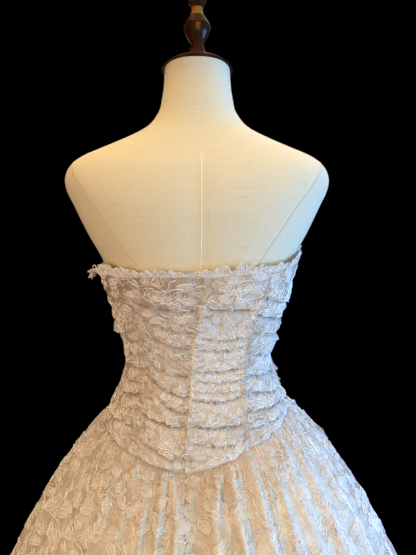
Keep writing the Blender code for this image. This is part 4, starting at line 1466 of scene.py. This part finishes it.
def stitches(start, start_down, end, end_down, thicker):
    """Dashes of thread along a straight run over the lace, each of which stands up in its middle."""
    length = math.hypot((end - start) * PANEL_WIDTH, (end_down - start_down) * BODICE_LENGTH)
    number = round(length / (STITCH + STITCH_GAP))
    first = (np.arange(number) + rng.uniform(-0.3, 0.3, number)) / number
    share = first[:, None] + rng.uniform(0.3, 1.5, number)[:, None] * np.linspace(0.0, STITCH / length, 4)
    waver = rng.normal(0.0, STITCH_WAVER, (number, 1)) * np.array([1.0, 0.3, -0.3, -1.0])
    place = towards(start, end, share) + waver, towards(start_down, end_down, share)
    normal = bodice_normals(*place)
    rise = STITCH_RISE + np.array([0.0, 1.6, 1.6, 0.0])[:, None] * thicker * THREAD
    return swept(bodice_lace_point(*place) + rise * normal, normal, thicker * THREAD, thicker * THREAD, 5, False)


sewn = [stitches(*run) for run in SEAM_RUNS]
princess_stitches = put_mesh("bodice_seam_stitches", *gather(sewn), coral_thread, "peach_satin")
print("stitches:", triangles(princess_stitches), "triangles")

# %% [markdown]
# ### The frill
# The gathered edge of the lace stands along the neckline: a narrow strip that waves, leans outwards and, at the
# left side, turns down. It is cut round the petals of its pattern, which stand above it.

# %% The frill's net
FRILL_WAVES = 53
FRILL_BELOW = 4.0 * MM
FRILL_ABOVE = 4.8 * MM
FRILL_LEAN = 3.5 * MM
FRILL_COLUMNS = 640
FRILL_ROWS = 9
# Where the frill is deeper. Columns: angle, half width, then in mm: extra height, lean, droop, and depth below.
FRILL_TIPS = (
    (-98, 8, 2, 8, 24, 18), (-85, 8, 4, 11, 27, 24), (-71, 10, 8, 9, 11, 20), (-54, 11, 9, 5, 1, 8),
    (-38, 7, 3, 2, 0.5, 2), (-18, 6, 1.5, 0.5, 0, 0), (9, 4, 3, 0.5, 0, 0), (21, 5, 4.5, 0.5, 0, 0),
    (37, 6, 3, 1, 0, 0), (74, 17, 6, 0.5, 0, 3), (100, 16, 4, 2, 1, 3), (128, 14, 2, 3, 1, 2),
    (180, 20, 2, 1.5, 0, 0), (236, 15, 2.5, 3, 1, 2),
)


def frill_point(turn, up, lift=0.0):
    """The frill's face: up its height, it leans out as up^1.5, waves more and more, and may turn over."""
    turn, up = np.broadcast_arrays(turn, up)
    radians = np.radians(turn)
    wave = np.sin(FRILL_WAVES * radians + 1.8 * np.sin(5 * radians)) + 0.5 * np.sin(2.3 * FRILL_WAVES * radians)
    up = np.minimum(up, 1.0 + 0.6 * np.tanh((up - 1.0) / 0.6))
    height = FRILL_ABOVE * (1.0 + 0.22 * np.sin(17 * radians) + 0.16 * np.sin(41 * radians + 1.0))
    lean, droop, below = FRILL_LEAN, 0.0, FRILL_BELOW
    for tip, half_width, *amounts in FRILL_TIPS:
        near = np.exp(-((apart(turn, tip) / half_width) ** 2)) * MM
        higher, further, lower, deeper = (amount * near for amount in amounts)
        height, lean, droop, below = height + higher, lean + further, droop + lower, below + deeper
    edge = neckline(turn)
    out = LACE_OUT + 0.001 + up**1.5 * (lean + (0.0008 + 0.13 * lean) * wave) + lift
    rise = (below + height) * up
    point = body_point(turn, np.minimum(edge - below + rise, edge), out)
    point[..., 2] = edge - below + rise - droop * np.minimum(up, 1.05) ** 4
    return point


turn = np.linspace(0.6, 359.4, FRILL_COLUMNS)[None, :]
up = np.linspace(1.0, 0.0, FRILL_ROWS)[:, None]
frill = cloth("neckline_frill_net", frill_point(turn, up), NET_WALL, bodice_net, "champagne_lace")
mark(frill, "bunched", 0.7 + 0.0 * turn * up)
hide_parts("neckline_frill")
print("frill:", triangles(frill), "triangles of net")

# %% [markdown]
# Each petal has a midrib that goes up the frill's own surface, and a corded rim. Most are drawn at random, and
# the tallest, on the right of the back, are listed one by one.

# %% The frill's petals
PETALS = 104
PETAL_FOOT = 0.35  # where the petals start, as a share of the frill's height
NECK_RADIUS = 0.145  # turns a petal's width into degrees
FRILL_DARNING, FRILL_CORD = 0.4 * MM, 0.6 * MM
# Petals that stand well above the rest. Columns: angle, height as a share of the frill's, half width in mm.
LONG_PETALS = (
    (0, 1.25, 2.2), (9.5, 1.75, 1.8), (17, 1.65, 2.6), (20.5, 1.85, 2.8),
    (24, 1.6, 2.4), (31, 1.65, 2.6), (44, 1.4, 2.6), (-22, 1.35, 2), (-30, 1.45, 2.2), (-37, 1.3, 2.4),
)
petal_turn = 360.0 * (np.arange(PETALS) + rng.uniform(-0.48, 0.48, PETALS)) / PETALS
petal_high = 0.55 + rng.gamma(1.5, 0.28, PETALS)
petal_half = rng.uniform(1.2, 3.0, PETALS)
petals = np.stack([petal_turn, petal_high, petal_half], -1)
petal_turn, petal_high, petal_half = np.concatenate([petals, LONG_PETALS]).T[..., None]
petal_half = petal_half * MM
petal_high = 1.0 + (petal_high - 1.0) * (1.0 - 0.8 * np.exp(-((apart(petal_turn, -82.0) / 26.0) ** 2)))
petal_lean = rng.uniform(-3.0, 3.0, petal_turn.shape)


def on_petal(share, lift, aside=0.0):
    """Points and normals up the petals, as far aside from the midrib as a share of their half width."""
    turn = petal_turn + petal_lean * share + np.degrees(petal_half * aside / NECK_RADIUS)
    up = towards(PETAL_FOOT, petal_high, share)
    return frill_point(turn, up, lift), -surface_normals(frill_point, turn, np.minimum(up, 1.0), 0.4, 0.05)


share = np.linspace(0.0, 1.0, 6)[None, :]
widths = petal_half * np.sin(np.pi * (0.12 + 0.86 * share) ** 1.2) ** 0.7 / THREE_CORNERS
fans = swept(*on_petal(share, 0.6 * MM), widths, FRILL_DARNING, 3, False)
around = 2 * np.pi * np.arange(14)[None, :] / 14.0
rim_share = 0.5 - 0.5 * np.cos(around)
rim_side = 1.25 * np.sin(around) * (0.4 + 0.6 * rim_share)
rims = swept(*on_petal(rim_share, 0.9 * MM, rim_side), FRILL_CORD, FRILL_CORD, 3, True)
frill_petals = put_mesh("neckline_frill_petals", *fans, bodice_petals, "champagne_lace")
frill_petals.data.set_sharp_from_angle(angle=SHARP_PETALS)
frill_cords = put_mesh("neckline_frill_cords", *rims, lace_cord, "champagne_lace")
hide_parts("neckline_frill")
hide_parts("neckline_frill")
print("frill:", triangles(frill_petals), "triangles of petals,", triangles(frill_cords), "of cords")

# %% [markdown]
# ## The skirt
# The skirt is gathered into the waist seam and stands out like a bell. Its surface is a smooth bell plus a map
# of fold heights. The deep folds come first, and their ridges are listed one by one.

# %% The deep folds
# The deep folds. Columns: angle of the ridge at the seam, share of the full height.
SKIRT_FOLDS = (
    (5.5, 0.5), (13.5, 0.6), (23.5, 0.6), (37, 0.5), (48.5, 0.42), (59.5, 0.48),
    (71.5, 0.42), (83.5, 0.5), (98, 0.75), (111.5, 1.05), (126, 0.8), (139, 1),
    (153.5, 0.85), (167, 1.1), (182, 0.9), (196, 1.05), (209, 0.8), (223.5, 1),
    (238, 0.9), (251.5, 1), (264, 0.75), (275.5, 0.75), (287, 0.6), (298, 0.5),
    (309.5, 0.4), (320, 0.4), (330, 0.3), (338.5, 0.35), (345.5, 0.5), (352.5, 0.55),
)
FOLD_NEAR_SEAM = 0.0036
SEAM_GROWTH = 0.014
FOLD_AT_HEM = 0.022
FOLD_GROWTH = 0.48
RIDGE_SHARPNESS = 1.35
# How far the ridges swing towards the centre back as they fall. Columns: angle, degrees.
FOLD_SWING = (
    (-180, 0), (-100, 0), (-60, -1.5), (-35, -3), (-12, 0), (4, 2), (14, 1.5), (24, 4), (36, 10), (50, 12),
    (64, 11), (80, 7), (100, 2), (130, 0), (180, 0),
)
SWING_DROP = 0.075


def reached(drop, growth):
    """The share of its full size that something has grown to after this drop, from 0 towards 1."""
    return 1.0 - np.exp(-drop / growth)


def swing(turn):
    """Degrees by which a fold at this angle swings on its way down."""
    return np.interp((turn + 180.0) % 360.0 - 180.0, *np.array(FOLD_SWING).T)


def deep_folds(turn, drop):
    """Ridges and valleys from -1 to 1 times each fold's own height, sharper on the ridges."""
    ridges, heights = np.array(SKIRT_FOLDS).T
    ridges = np.concatenate([ridges[-2:] - 360.0, ridges, ridges[:2] + 360.0])
    heights = np.concatenate([heights[-2:], heights, heights[:2]])
    valleys = (ridges[:-1] + ridges[1:]) / 2
    angles = np.sort(np.concatenate([ridges, valleys]))
    phase = np.arange(len(angles)) * 0.5
    at = (turn + swing(turn) * reached(drop, SWING_DROP)) % 360.0
    ridge = 0.5 + 0.5 * np.cos(2 * np.pi * np.interp(at, angles, phase))
    height = np.interp(at, ridges, heights)
    return height * (2.0 * ridge**RIDGE_SHARPNESS - 1.0)


def fold_depth(drop):
    """The folds' half height: a little grows just under the seam, and the rest on the way to the hem."""
    return FOLD_NEAR_SEAM * reached(drop, SEAM_GROWTH) + FOLD_AT_HEM * reached(drop, FOLD_GROWTH)


print("deep folds:", len(SKIRT_FOLDS), "of up to", round(2000 * fold_depth(1.0)), "mm at the hem")

# %% [markdown]
# The bell goes out at right angles to the waist seam: at once by a puff, because the gathers stand up, and then
# evenly by the flare.

# %% The bell
SKIRT_FLARE = 0.475
LACE_PUFF = 0.056
LINING_PUFF = 0.036
PUFF_DROP = 0.09
SKIRT_LEAN = 0.03


def skirt_base(turn, drop, top_drop, out, puff, stand):
    """The bell: from the waist seam, out along its normal by flare and puff, and down by the drop."""

    def seam_point(angle):
        return body_point(angle, waist_seam(angle) - top_drop, out)

    turn, drop = np.broadcast_arrays(turn, drop)
    top = seam_point(turn)
    along = seam_point(turn + 0.5) - seam_point(turn - 0.5)
    along[..., 2] = 0.0
    along = unit(along)
    outward = np.stack([along[..., 1], -along[..., 0], 0.0 * along[..., 0]], axis=-1)
    reach = SKIRT_FLARE * drop + puff * reached(drop, PUFF_DROP) + stand
    point = top + outward * reach[..., None]
    point[..., 0] += SKIRT_LEAN * drop
    point[..., 2] -= drop
    return point


def lowest_drop(turn):
    """The drop at which the skirt's hem is reached."""
    return waist_seam(turn) - 2 * SEAM_GAP - HEM_HEIGHT


print("bell: hem at a drop of", round(float(lowest_drop(0.0)), 3), "m at the centre back")

# %% [markdown]
# ### Gathers, ripples and ridges
# Small folds lie between the deep ones. The ridges that catch the light below the seam are listed one by one,
# and the gathers and ripples between them are drawn at random, so that no two are alike.

# %% Ridges placed one by one
# Columns: angle at the seam, angle at its end, drop at its start and end, height and half width in mm.
LIT_RIDGES = (
    (-13.4, -14, 0.002, 0.14, 6, 4), (-8.8, -7.8, 0.002, 0.18, 6.5, 4.2), (-3, -2, 0.004, 0.07, 2, 1.6),
    (2, 0, 0.004, 0.1, 2, 1.6), (7.2, 3.2, 0.003, 0.28, 7, 4.6), (10, 8, 0.01, 0.09, 1.8, 1.5),
    (13.9, 11.5, 0.006, 0.26, 5.6, 3.6), (17.6, 15.5, 0.006, 0.12, 2.2, 1.7), (21, 18, 0.01, 0.16, 2, 1.5),
    (24.4, 20.5, 0.004, 0.28, 4.6, 3.2), (28.5, 22.5, 0.008, 0.14, 2, 1.6), (32, 24.5, 0.02, 0.2, 2.4, 1.7),
    (38.8, 27, 0.008, 0.4, 3, 2.2), (42, 31, 0.03, 0.18, 2, 1.6), (48.8, 35.5, 0.01, 0.44, 2.8, 2.4),
    (52, 40, 0.018, 0.26, 2, 1.6), (58, 47, 0.01, 0.4, 2.6, 2.2), (62, 51, 0.04, 0.24, 2, 1.8),
    (71.5, 60, 0.012, 0.48, 2.8, 2.6), (78, 68, 0.02, 0.3, 2.2, 2.2), (86, 78, 0.012, 0.5, 2.8, 3),
    (-24, -22, 0.004, 0.14, 1.4, 3.2), (-32.5, -27, 0.004, 0.16, 1.8, 3.6), (-41, -38, 0.004, 0.2, 1.6, 4),
    (-48, -45, 0.01, 0.22, 2, 4.4), (-58, -56, 0.004, 0.3, 2.6, 4.5), (-70, -70, 0.01, 0.26, 3, 4.5),
    (-83, -86, 0.006, 0.34, 3, 4.5),
)
print("lit ridges:", len(LIT_RIDGES))

# %% [markdown]
# The small folds are kept as a map of heights, as the rolls of the bodice are. Each is a bell across, follows
# the swing of the deep folds, wavers a little, widens as it falls and fades out.

# %% The map and one small fold
FOLD_COLUMNS = 2880
FOLD_ROWS = 220
DEEPEST = 1.0
HIP_RADIUS = 0.13  # turns degrees into metres at the seam
WAVER = 0.45  # how far a fold wavers, as a share of its half width


def on_skirt_map(turn, drop):
    """The row and column of the map at an angle and a drop. The rows are closest together under the seam."""
    return np.sqrt(drop / DEEPEST) * (FOLD_ROWS - 1), turn * FOLD_COLUMNS / 360.0


def metres_per_degree(drop):
    """How far apart two places a degree apart are, at this drop."""
    return np.radians(HIP_RADIUS + SKIRT_FLARE * drop + LACE_PUFF * reached(drop, PUFF_DROP))


fold_drop = DEEPEST * (np.arange(FOLD_ROWS) / (FOLD_ROWS - 1))[:, None] ** 2
skirt_folds = np.zeros((FOLD_ROWS, FOLD_COLUMNS))


def add_fold(seam_turn, end_turn, start, end, height, half_width, widening=1.6):
    """One small fold: height times a bell of its half width, which grows by widening along its length."""
    first = start * 0.3
    rows = np.nonzero((fold_drop[:, 0] >= first) & (fold_drop[:, 0] <= end))[0]
    drop = fold_drop[rows]
    share = np.clip((drop - start) / (end - start), 0.0, 1.0)
    half = half_width * MM
    centre = towards(seam_turn, end_turn, reached(drop, SWING_DROP) / reached(end, SWING_DROP))
    sway = np.sin(drop / 0.011 + seam_turn) + np.sin(drop / 0.026 + 3 * seam_turn)
    centre = centre + WAVER * half * sway / metres_per_degree(drop)
    reach = int(3.2 * half * widening / metres_per_degree(0.0) * FOLD_COLUMNS / 360.0) + 4
    reach += int(abs(end_turn - seam_turn) * FOLD_COLUMNS / 720.0)
    middle = int(round((seam_turn + end_turn) / 2 * FOLD_COLUMNS / 360.0))
    columns = np.arange(middle - reach, middle + reach + 1)
    off = (columns[None, :] * 360.0 / FOLD_COLUMNS - centre) * metres_per_degree(drop)
    off = off / (half * (1.0 + (widening - 1.0) * share))
    rise = ease_in((drop - first) / (0.7 * start + 0.006))
    fall = (1.0 - ease_in((share - 0.45) / 0.55)) * (0.8 + 0.35 * np.sin(drop / 0.009 + 5 * seam_turn))
    skirt_folds[np.ix_(rows, columns % FOLD_COLUMNS)] += height * MM * np.exp(-(off**2)) * rise * fall


print("skirt's map:", FOLD_ROWS, "rows of", FOLD_COLUMNS)

# %% [markdown]
# Gathers are short, narrow and close together under the seam. Ripples are wider and start lower. Where the map
# bends hard inwards, the lace is painted in shade.

# %% Gathers and ripples
GATHERS = 190
RIPPLES = 120
VALLEY_CURVE = 700.0  # a small fold bent this hard, per metre, is painted fully in shade
VALLEY_COLUMNS = 4  # over this many columns each way
VALLEY_DROP = 0.4

for ridge in LIT_RIDGES:
    add_fold(*ridge)
for number in range(GATHERS):
    place = 360.0 * (number + rng.uniform(-0.32, 0.32)) / GATHERS
    length = 0.025 + rng.exponential(0.045)
    end_place = place - swing(place) * reached(length, SWING_DROP)
    add_fold(place, end_place, 0.001, length, rng.uniform(1.2, 3.8), rng.uniform(1.1, 1.9), 2.0)
for number in range(RIPPLES):
    place = 360.0 * (number + rng.uniform(-0.4, 0.4)) / RIPPLES
    start = rng.uniform(0.02, 0.3)
    end = min(start + rng.uniform(0.25, 0.9), 1.1)
    add_fold(place, place - swing(place), start, end, rng.uniform(1.2, 4.2), rng.uniform(4.0, 8.0), 2.4)
# Painted shade in the valleys of the small folds: how hard the map bends inwards, fading down the skirt.
sides = np.roll(skirt_folds, VALLEY_COLUMNS, 1) + np.roll(skirt_folds, -VALLEY_COLUMNS, 1)
step = VALLEY_COLUMNS * 360.0 / FOLD_COLUMNS * metres_per_degree(fold_drop)
curve = (sides - 2 * skirt_folds) / step**2
skirt_valley_shade = np.clip(curve / VALLEY_CURVE, 0.0, 1.0) * np.exp(-fold_drop / VALLEY_DROP)
print("skirt folds:", GATHERS, "gathers,", RIPPLES, "ripples, up to", round(skirt_folds.max() / MM, 1), "mm")

# %% [markdown]
# The lace is the bell with both kinds of fold, and the lining a smaller bell with half of each deep fold. Where
# the lace is gathered and painted in shade, and where it lies double and is painted paler, is read from the map too.

# %% Lace and lining as surfaces
LINING_FOLD_SHARE = 0.5
LINING_TOP_DROP = 1.4 * MM
# Under the seam the lace is closer and painted in shade.
GATHERED_AT_SEAM, GATHERED_DROP = 0.8, 0.04
RIGHT_HIP = 38.0
DOUBLED_FROM, DOUBLED_OVER = 2.2 * MM, 4.0 * MM  # heights of the small folds


def skirt_lace_point(turn, drop, lift=0.0):
    """The lace's outer face: the bell with its deep folds and the map of small ones."""
    turn, drop = np.broadcast_arrays(turn, np.clip(drop, 0.0, DEEPEST * 0.9999))
    small = read_map(skirt_folds, *on_skirt_map(turn, drop))
    stand = fold_depth(drop) * deep_folds(turn, drop) + small + lift
    return skirt_base(turn, drop, 2 * SEAM_GAP, LACE_OUT, LACE_PUFF, stand)


def skirt_gathers_and_shade(turn, drop):
    """How hard the lace is gathered, from 0 to 1, which its finish also paints as shade: most under the seam, and in
    the valleys of small folds.
    """
    valley = read_map(skirt_valley_shade, *np.broadcast_arrays(*on_skirt_map(turn, drop)))
    at_seam = GATHERED_AT_SEAM * np.exp(-drop / GATHERED_DROP) * (0.4 + valley)
    return np.clip(at_seam + 0.7 * valley, 0.0, 1.0)


def skirt_doubled_and_highlight(turn, drop):
    """How far the lace lies double and is painted paler, from 0 to 1: on the highest of the small folds, and over the
    right hip, both partly painted highlight.
    """
    height = read_map(skirt_folds, *np.broadcast_arrays(*on_skirt_map(turn, drop)))
    raised = np.clip((height - DOUBLED_FROM) / DOUBLED_OVER, 0.0, 1.0)
    from_hip = apart(turn, RIGHT_HIP)
    right = 0.3 + 0.55 * np.exp(-((from_hip / 50.0) ** 4))
    return np.maximum(right * raised, 0.6 * np.exp(-((from_hip / 30.0) ** 4)))


def skirt_lining_point(turn, drop):
    """The lining's outer face: a smaller bell with half of each deep fold."""
    stand = LINING_FOLD_SHARE * fold_depth(drop) * deep_folds(turn, drop)
    return skirt_base(turn, drop, LINING_TOP_DROP, EASE + LINING_WALL, LINING_PUFF, stand)


print("skirt: lace and lining", round((LACE_PUFF - LINING_PUFF) / MM), "mm apart below the seam")

# %% [markdown]
# Both layers are cut in three panels, with their rows closest together under the seam.

# %% Lining and lace panels of the skirt
SKIRT_PANELS = (
    ("back_right", BACK_POINT_TURN, SIDE_TURN),
    ("front", SIDE_TURN, 360 - SIDE_TURN),
    ("back_left", 360 - SIDE_TURN, 360 + BACK_POINT_TURN),
)
LINING_DEGREES, LINING_ROWS = 1.6, 30
LACE_DEGREES, LACE_ROWS = 0.46, 56
FRONT_COARSER = 1.6
PANEL_EDGE = 0.06  # degrees left between neighbours


def skirt_grid(start, end, degrees, rows):
    """Angles and drops of a panel's grid, with rows closest under the seam."""
    columns = round((end - start) / degrees) + 1
    turn = np.linspace(start + PANEL_EDGE, end - PANEL_EDGE, columns)[None, :]
    return turn, np.linspace(0.0, 1.0, rows)[:, None] ** 1.7 * lowest_drop(turn)


linings, skirt_nets = {}, {}
for panel, start, end in SKIRT_PANELS:
    turn, drop = skirt_grid(start, end, LINING_DEGREES, LINING_ROWS)
    points = skirt_lining_point(turn, drop - (LINING_TOP_DROP - 2 * SEAM_GAP) * drop / drop.max())
    linings[panel] = cloth(f"lining_{panel}", points, LINING_WALL, satin.material, "peach_satin")
    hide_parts(f"skirt_lining_{panel}")
    turn, drop = skirt_grid(start, end, LACE_DEGREES * (FRONT_COARSER if panel == "front" else 1.0), LACE_ROWS)
    points = skirt_lace_point(turn, drop)
    skirt_nets[panel] = cloth(f"skirt_net_{panel}", points, NET_WALL, skirt_net, "champagne_lace")
    mark(skirt_nets[panel], "gathered", skirt_gathers_and_shade(turn, drop))
    mark(skirt_nets[panel], "bunched", skirt_doubled_and_highlight(turn, drop))
    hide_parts(f"skirt_lace_{panel}")
print("skirt:", [triangles(piece) for piece in (*linings.values(), *skirt_nets.values())], "triangles")

# %% [markdown]
# On the skirt the sprays stand upright in rows. Each row has as many as its length needs, so the pattern keeps
# its size from the seam to the hem, and every other row is moved on by half a spray.

# %% Sprays on the skirt
SKIRT_CORD = 0.72 * MM
SKIRT_DARNING = 0.4 * MM
FRONT_SPRAY_SCALE = 1.45
FIRST_ROW, LAST_ROW = 0.02, 0.93  # drops
ROW_SHARE = 0.86  # of a spray's height, from one row to the next
SEAM_CROWD = 0.8  # how much narrower the sprays are at the seam, where the lace is gathered
CORD_SHADE = 0.35


def skirt_spray_point(turn, drop):
    """The lace's outer face, with every stroke ended at the hem."""
    return skirt_lace_point(turn, np.minimum(drop, lowest_drop(turn) - 0.001))


def skirt_cord_shade(turn, drop):
    """The cords and petals are painted in less shade than the net under them."""
    return CORD_SHADE * skirt_gathers_and_shade(turn, np.clip(drop, 0.0, DEEPEST * 0.9999))


def skirt_normals(turn, drop):
    """Outward normals of the skirt's lace."""
    return surface_normals(skirt_lace_point, turn, np.maximum(drop, 0.004), 0.1, 0.0015)


def skirt_lattice(start, end, size):
    """Centres of a panel's sprays, row by row from the seam."""

    def bell(turns, drops):
        return skirt_base(np.array(turns), np.array(drops), 0.0, LACE_OUT, LACE_PUFF, 0.0)

    spots, row, drop = [], 0, FIRST_ROW
    middle = (start + end) / 2
    while drop <= LAST_ROW:
        per_degree = np.linalg.norm(np.subtract(*bell([middle + 1.0, middle - 1.0], drop))) / 2
        per_degree = per_degree * (1.0 + SEAM_CROWD * math.exp(-drop / 0.05))
        per_drop = np.linalg.norm(np.subtract(*bell(middle, [drop + 0.005, drop - 0.005]))) / 0.01
        count = max(1, round((end - start) * per_degree / (SPRAY_WIDTH * size)))
        for k in range(count):
            turn = start + (end - start) * (k + 0.25 + 0.5 * (row % 2) + rng.uniform(-0.06, 0.06)) / count
            if drop + 0.03 > lowest_drop(turn):
                continue
            tilt, scale = rng.uniform(-0.35, 0.35), size * rng.uniform(0.92, 1.08)
            spots.append((turn, drop, per_degree, per_drop, tilt, scale, rng.choice((-1.0, 1.0))))
        drop += SPRAY_HEIGHT * size * ROW_SHARE / per_drop
        row += 1
    return np.array(spots)


skirt_sprays = {}
for panel, start, end in SKIRT_PANELS:
    plain = panel == "front"
    centres = skirt_lattice(start, end, FRONT_SPRAY_SCALE if plain else 1.0)
    laid = laid_sprays(
        centres, skirt_spray_point, skirt_normals, skirt_cord_shade, SKIRT_CORD, SKIRT_DARNING, plain
    )
    skirt_sprays[panel] = put_sprays("skirt", panel, *laid, skirt_petals)
    print("skirt sprays,", panel, len(centres), [triangles(piece) for piece in skirt_sprays[panel]])

# %% [markdown]
# ## How each sheet was cut
# The lace of the bodice is cut longer than its foundation, for the ruching, and each skirt panel is a flared gore
# whose top edge is gathered.

# %% [markdown]
# ## Floor and light
# The stand is on a plain pale round floor, in a dark studio. Every light is a broad soft square. Warm ones
# stand at the back's left, below it and above, cool ones at the right, and two weak warm ones fill the front.

# %% Floor
FLOOR_RADIUS, FLOOR_CORNERS = 0.86, 96
floor_angle = 2 * np.pi * np.arange(FLOOR_CORNERS) / FLOOR_CORNERS
floor_rim = np.stack([FLOOR_RADIUS * np.sin(floor_angle), -FLOOR_RADIUS * np.cos(floor_angle), 0.0 * floor_angle], -1)
floor_mesh = bpy.data.meshes.new("floor")
floor_mesh.from_pydata(floor_rim.tolist(), [], [list(range(FLOOR_CORNERS))])
floor = bpy.data.objects.new("floor", floor_mesh)
bpy.context.scene.collection.objects.link(floor)
pale_floor = Finish("pale_floor", {"Roughness": 0.8, "Base Color": (0.72, 0.7, 0.67, 1.0)})
floor_mesh.materials.append(pale_floor.material)
print("floor: radius", FLOOR_RADIUS, "m")

# %% [markdown]
# The world is black, so only the lights show the gown. Each is an area light turned towards its aim.

# %% Lights
studio = bpy.data.worlds.new("studio")
studio.use_nodes = True
studio.node_tree.nodes["Background"].inputs["Color"].default_value = (0.0, 0.0, 0.0, 1.0)
bpy.context.scene.world = studio
bpy.context.scene.view_settings.view_transform = "Standard"

# Columns: name, place, aimed at, side in metres, watts, colour.
LIGHTS = (
    ("warm_back", (-1.41, -2.18, 1.42), (0, 0, 1.1), 1.3, 42, (1, 0.67, 0.42)),
    ("low_back", (0, -2.4, 0.6), (0, 0, 0.9), 1, 8, (1, 0.86, 0.64)),
    ("cool_right", (2.43, -0.34, 0.9), (0, 0, 1.05), 1.7, 92, (0.18, 0.41, 1)),
    ("pale_right", (2.16, -1.1, 1.3), (0, 0, 1), 1.4, 20.5, (0.6, 0.97, 0.95)),
    ("low_right", (1.25, -1.75, 0.45), (0.1, -0.1, 0.75), 1, 5.5, (0.33, 0.66, 1)),
    ("high_right", (1.32, -1.57, 2.43), (0.1, 0, 0.75), 1, 7, (0.54, 0.92, 1)),
    ("top", (0, -0.07, 3.2), (0, 0, 1.1), 1.8, 53.5, (1, 0.75, 0.39)),
    ("fill_front", (0.7, 1.9, 3), (0, 0, 0.9), 1.8, 23, (1, 0.97, 0.95)),
    ("low_front", (-0.4, 3, 1.3), (0, 0, 0.8), 1.6, 36, (1, 0.86, 0.72)),
)
for name, place, aim, side, watts, colour in LIGHTS:
    lamp = bpy.data.lights.new(name, "AREA")
    lamp.size = side
    lamp.energy = watts
    lamp.color = colour
    lamp_object = bpy.data.objects.new(name, lamp)
    lamp_object.location = place
    away = np.array(place) - np.array(aim)
    flat = math.hypot(away[0], away[1])
    lamp_object.rotation_euler = (math.atan2(flat, away[2]), 0.0, math.atan2(away[0], -away[1]))
    bpy.context.scene.collection.objects.link(lamp_object)
print("lights:", len(LIGHTS))
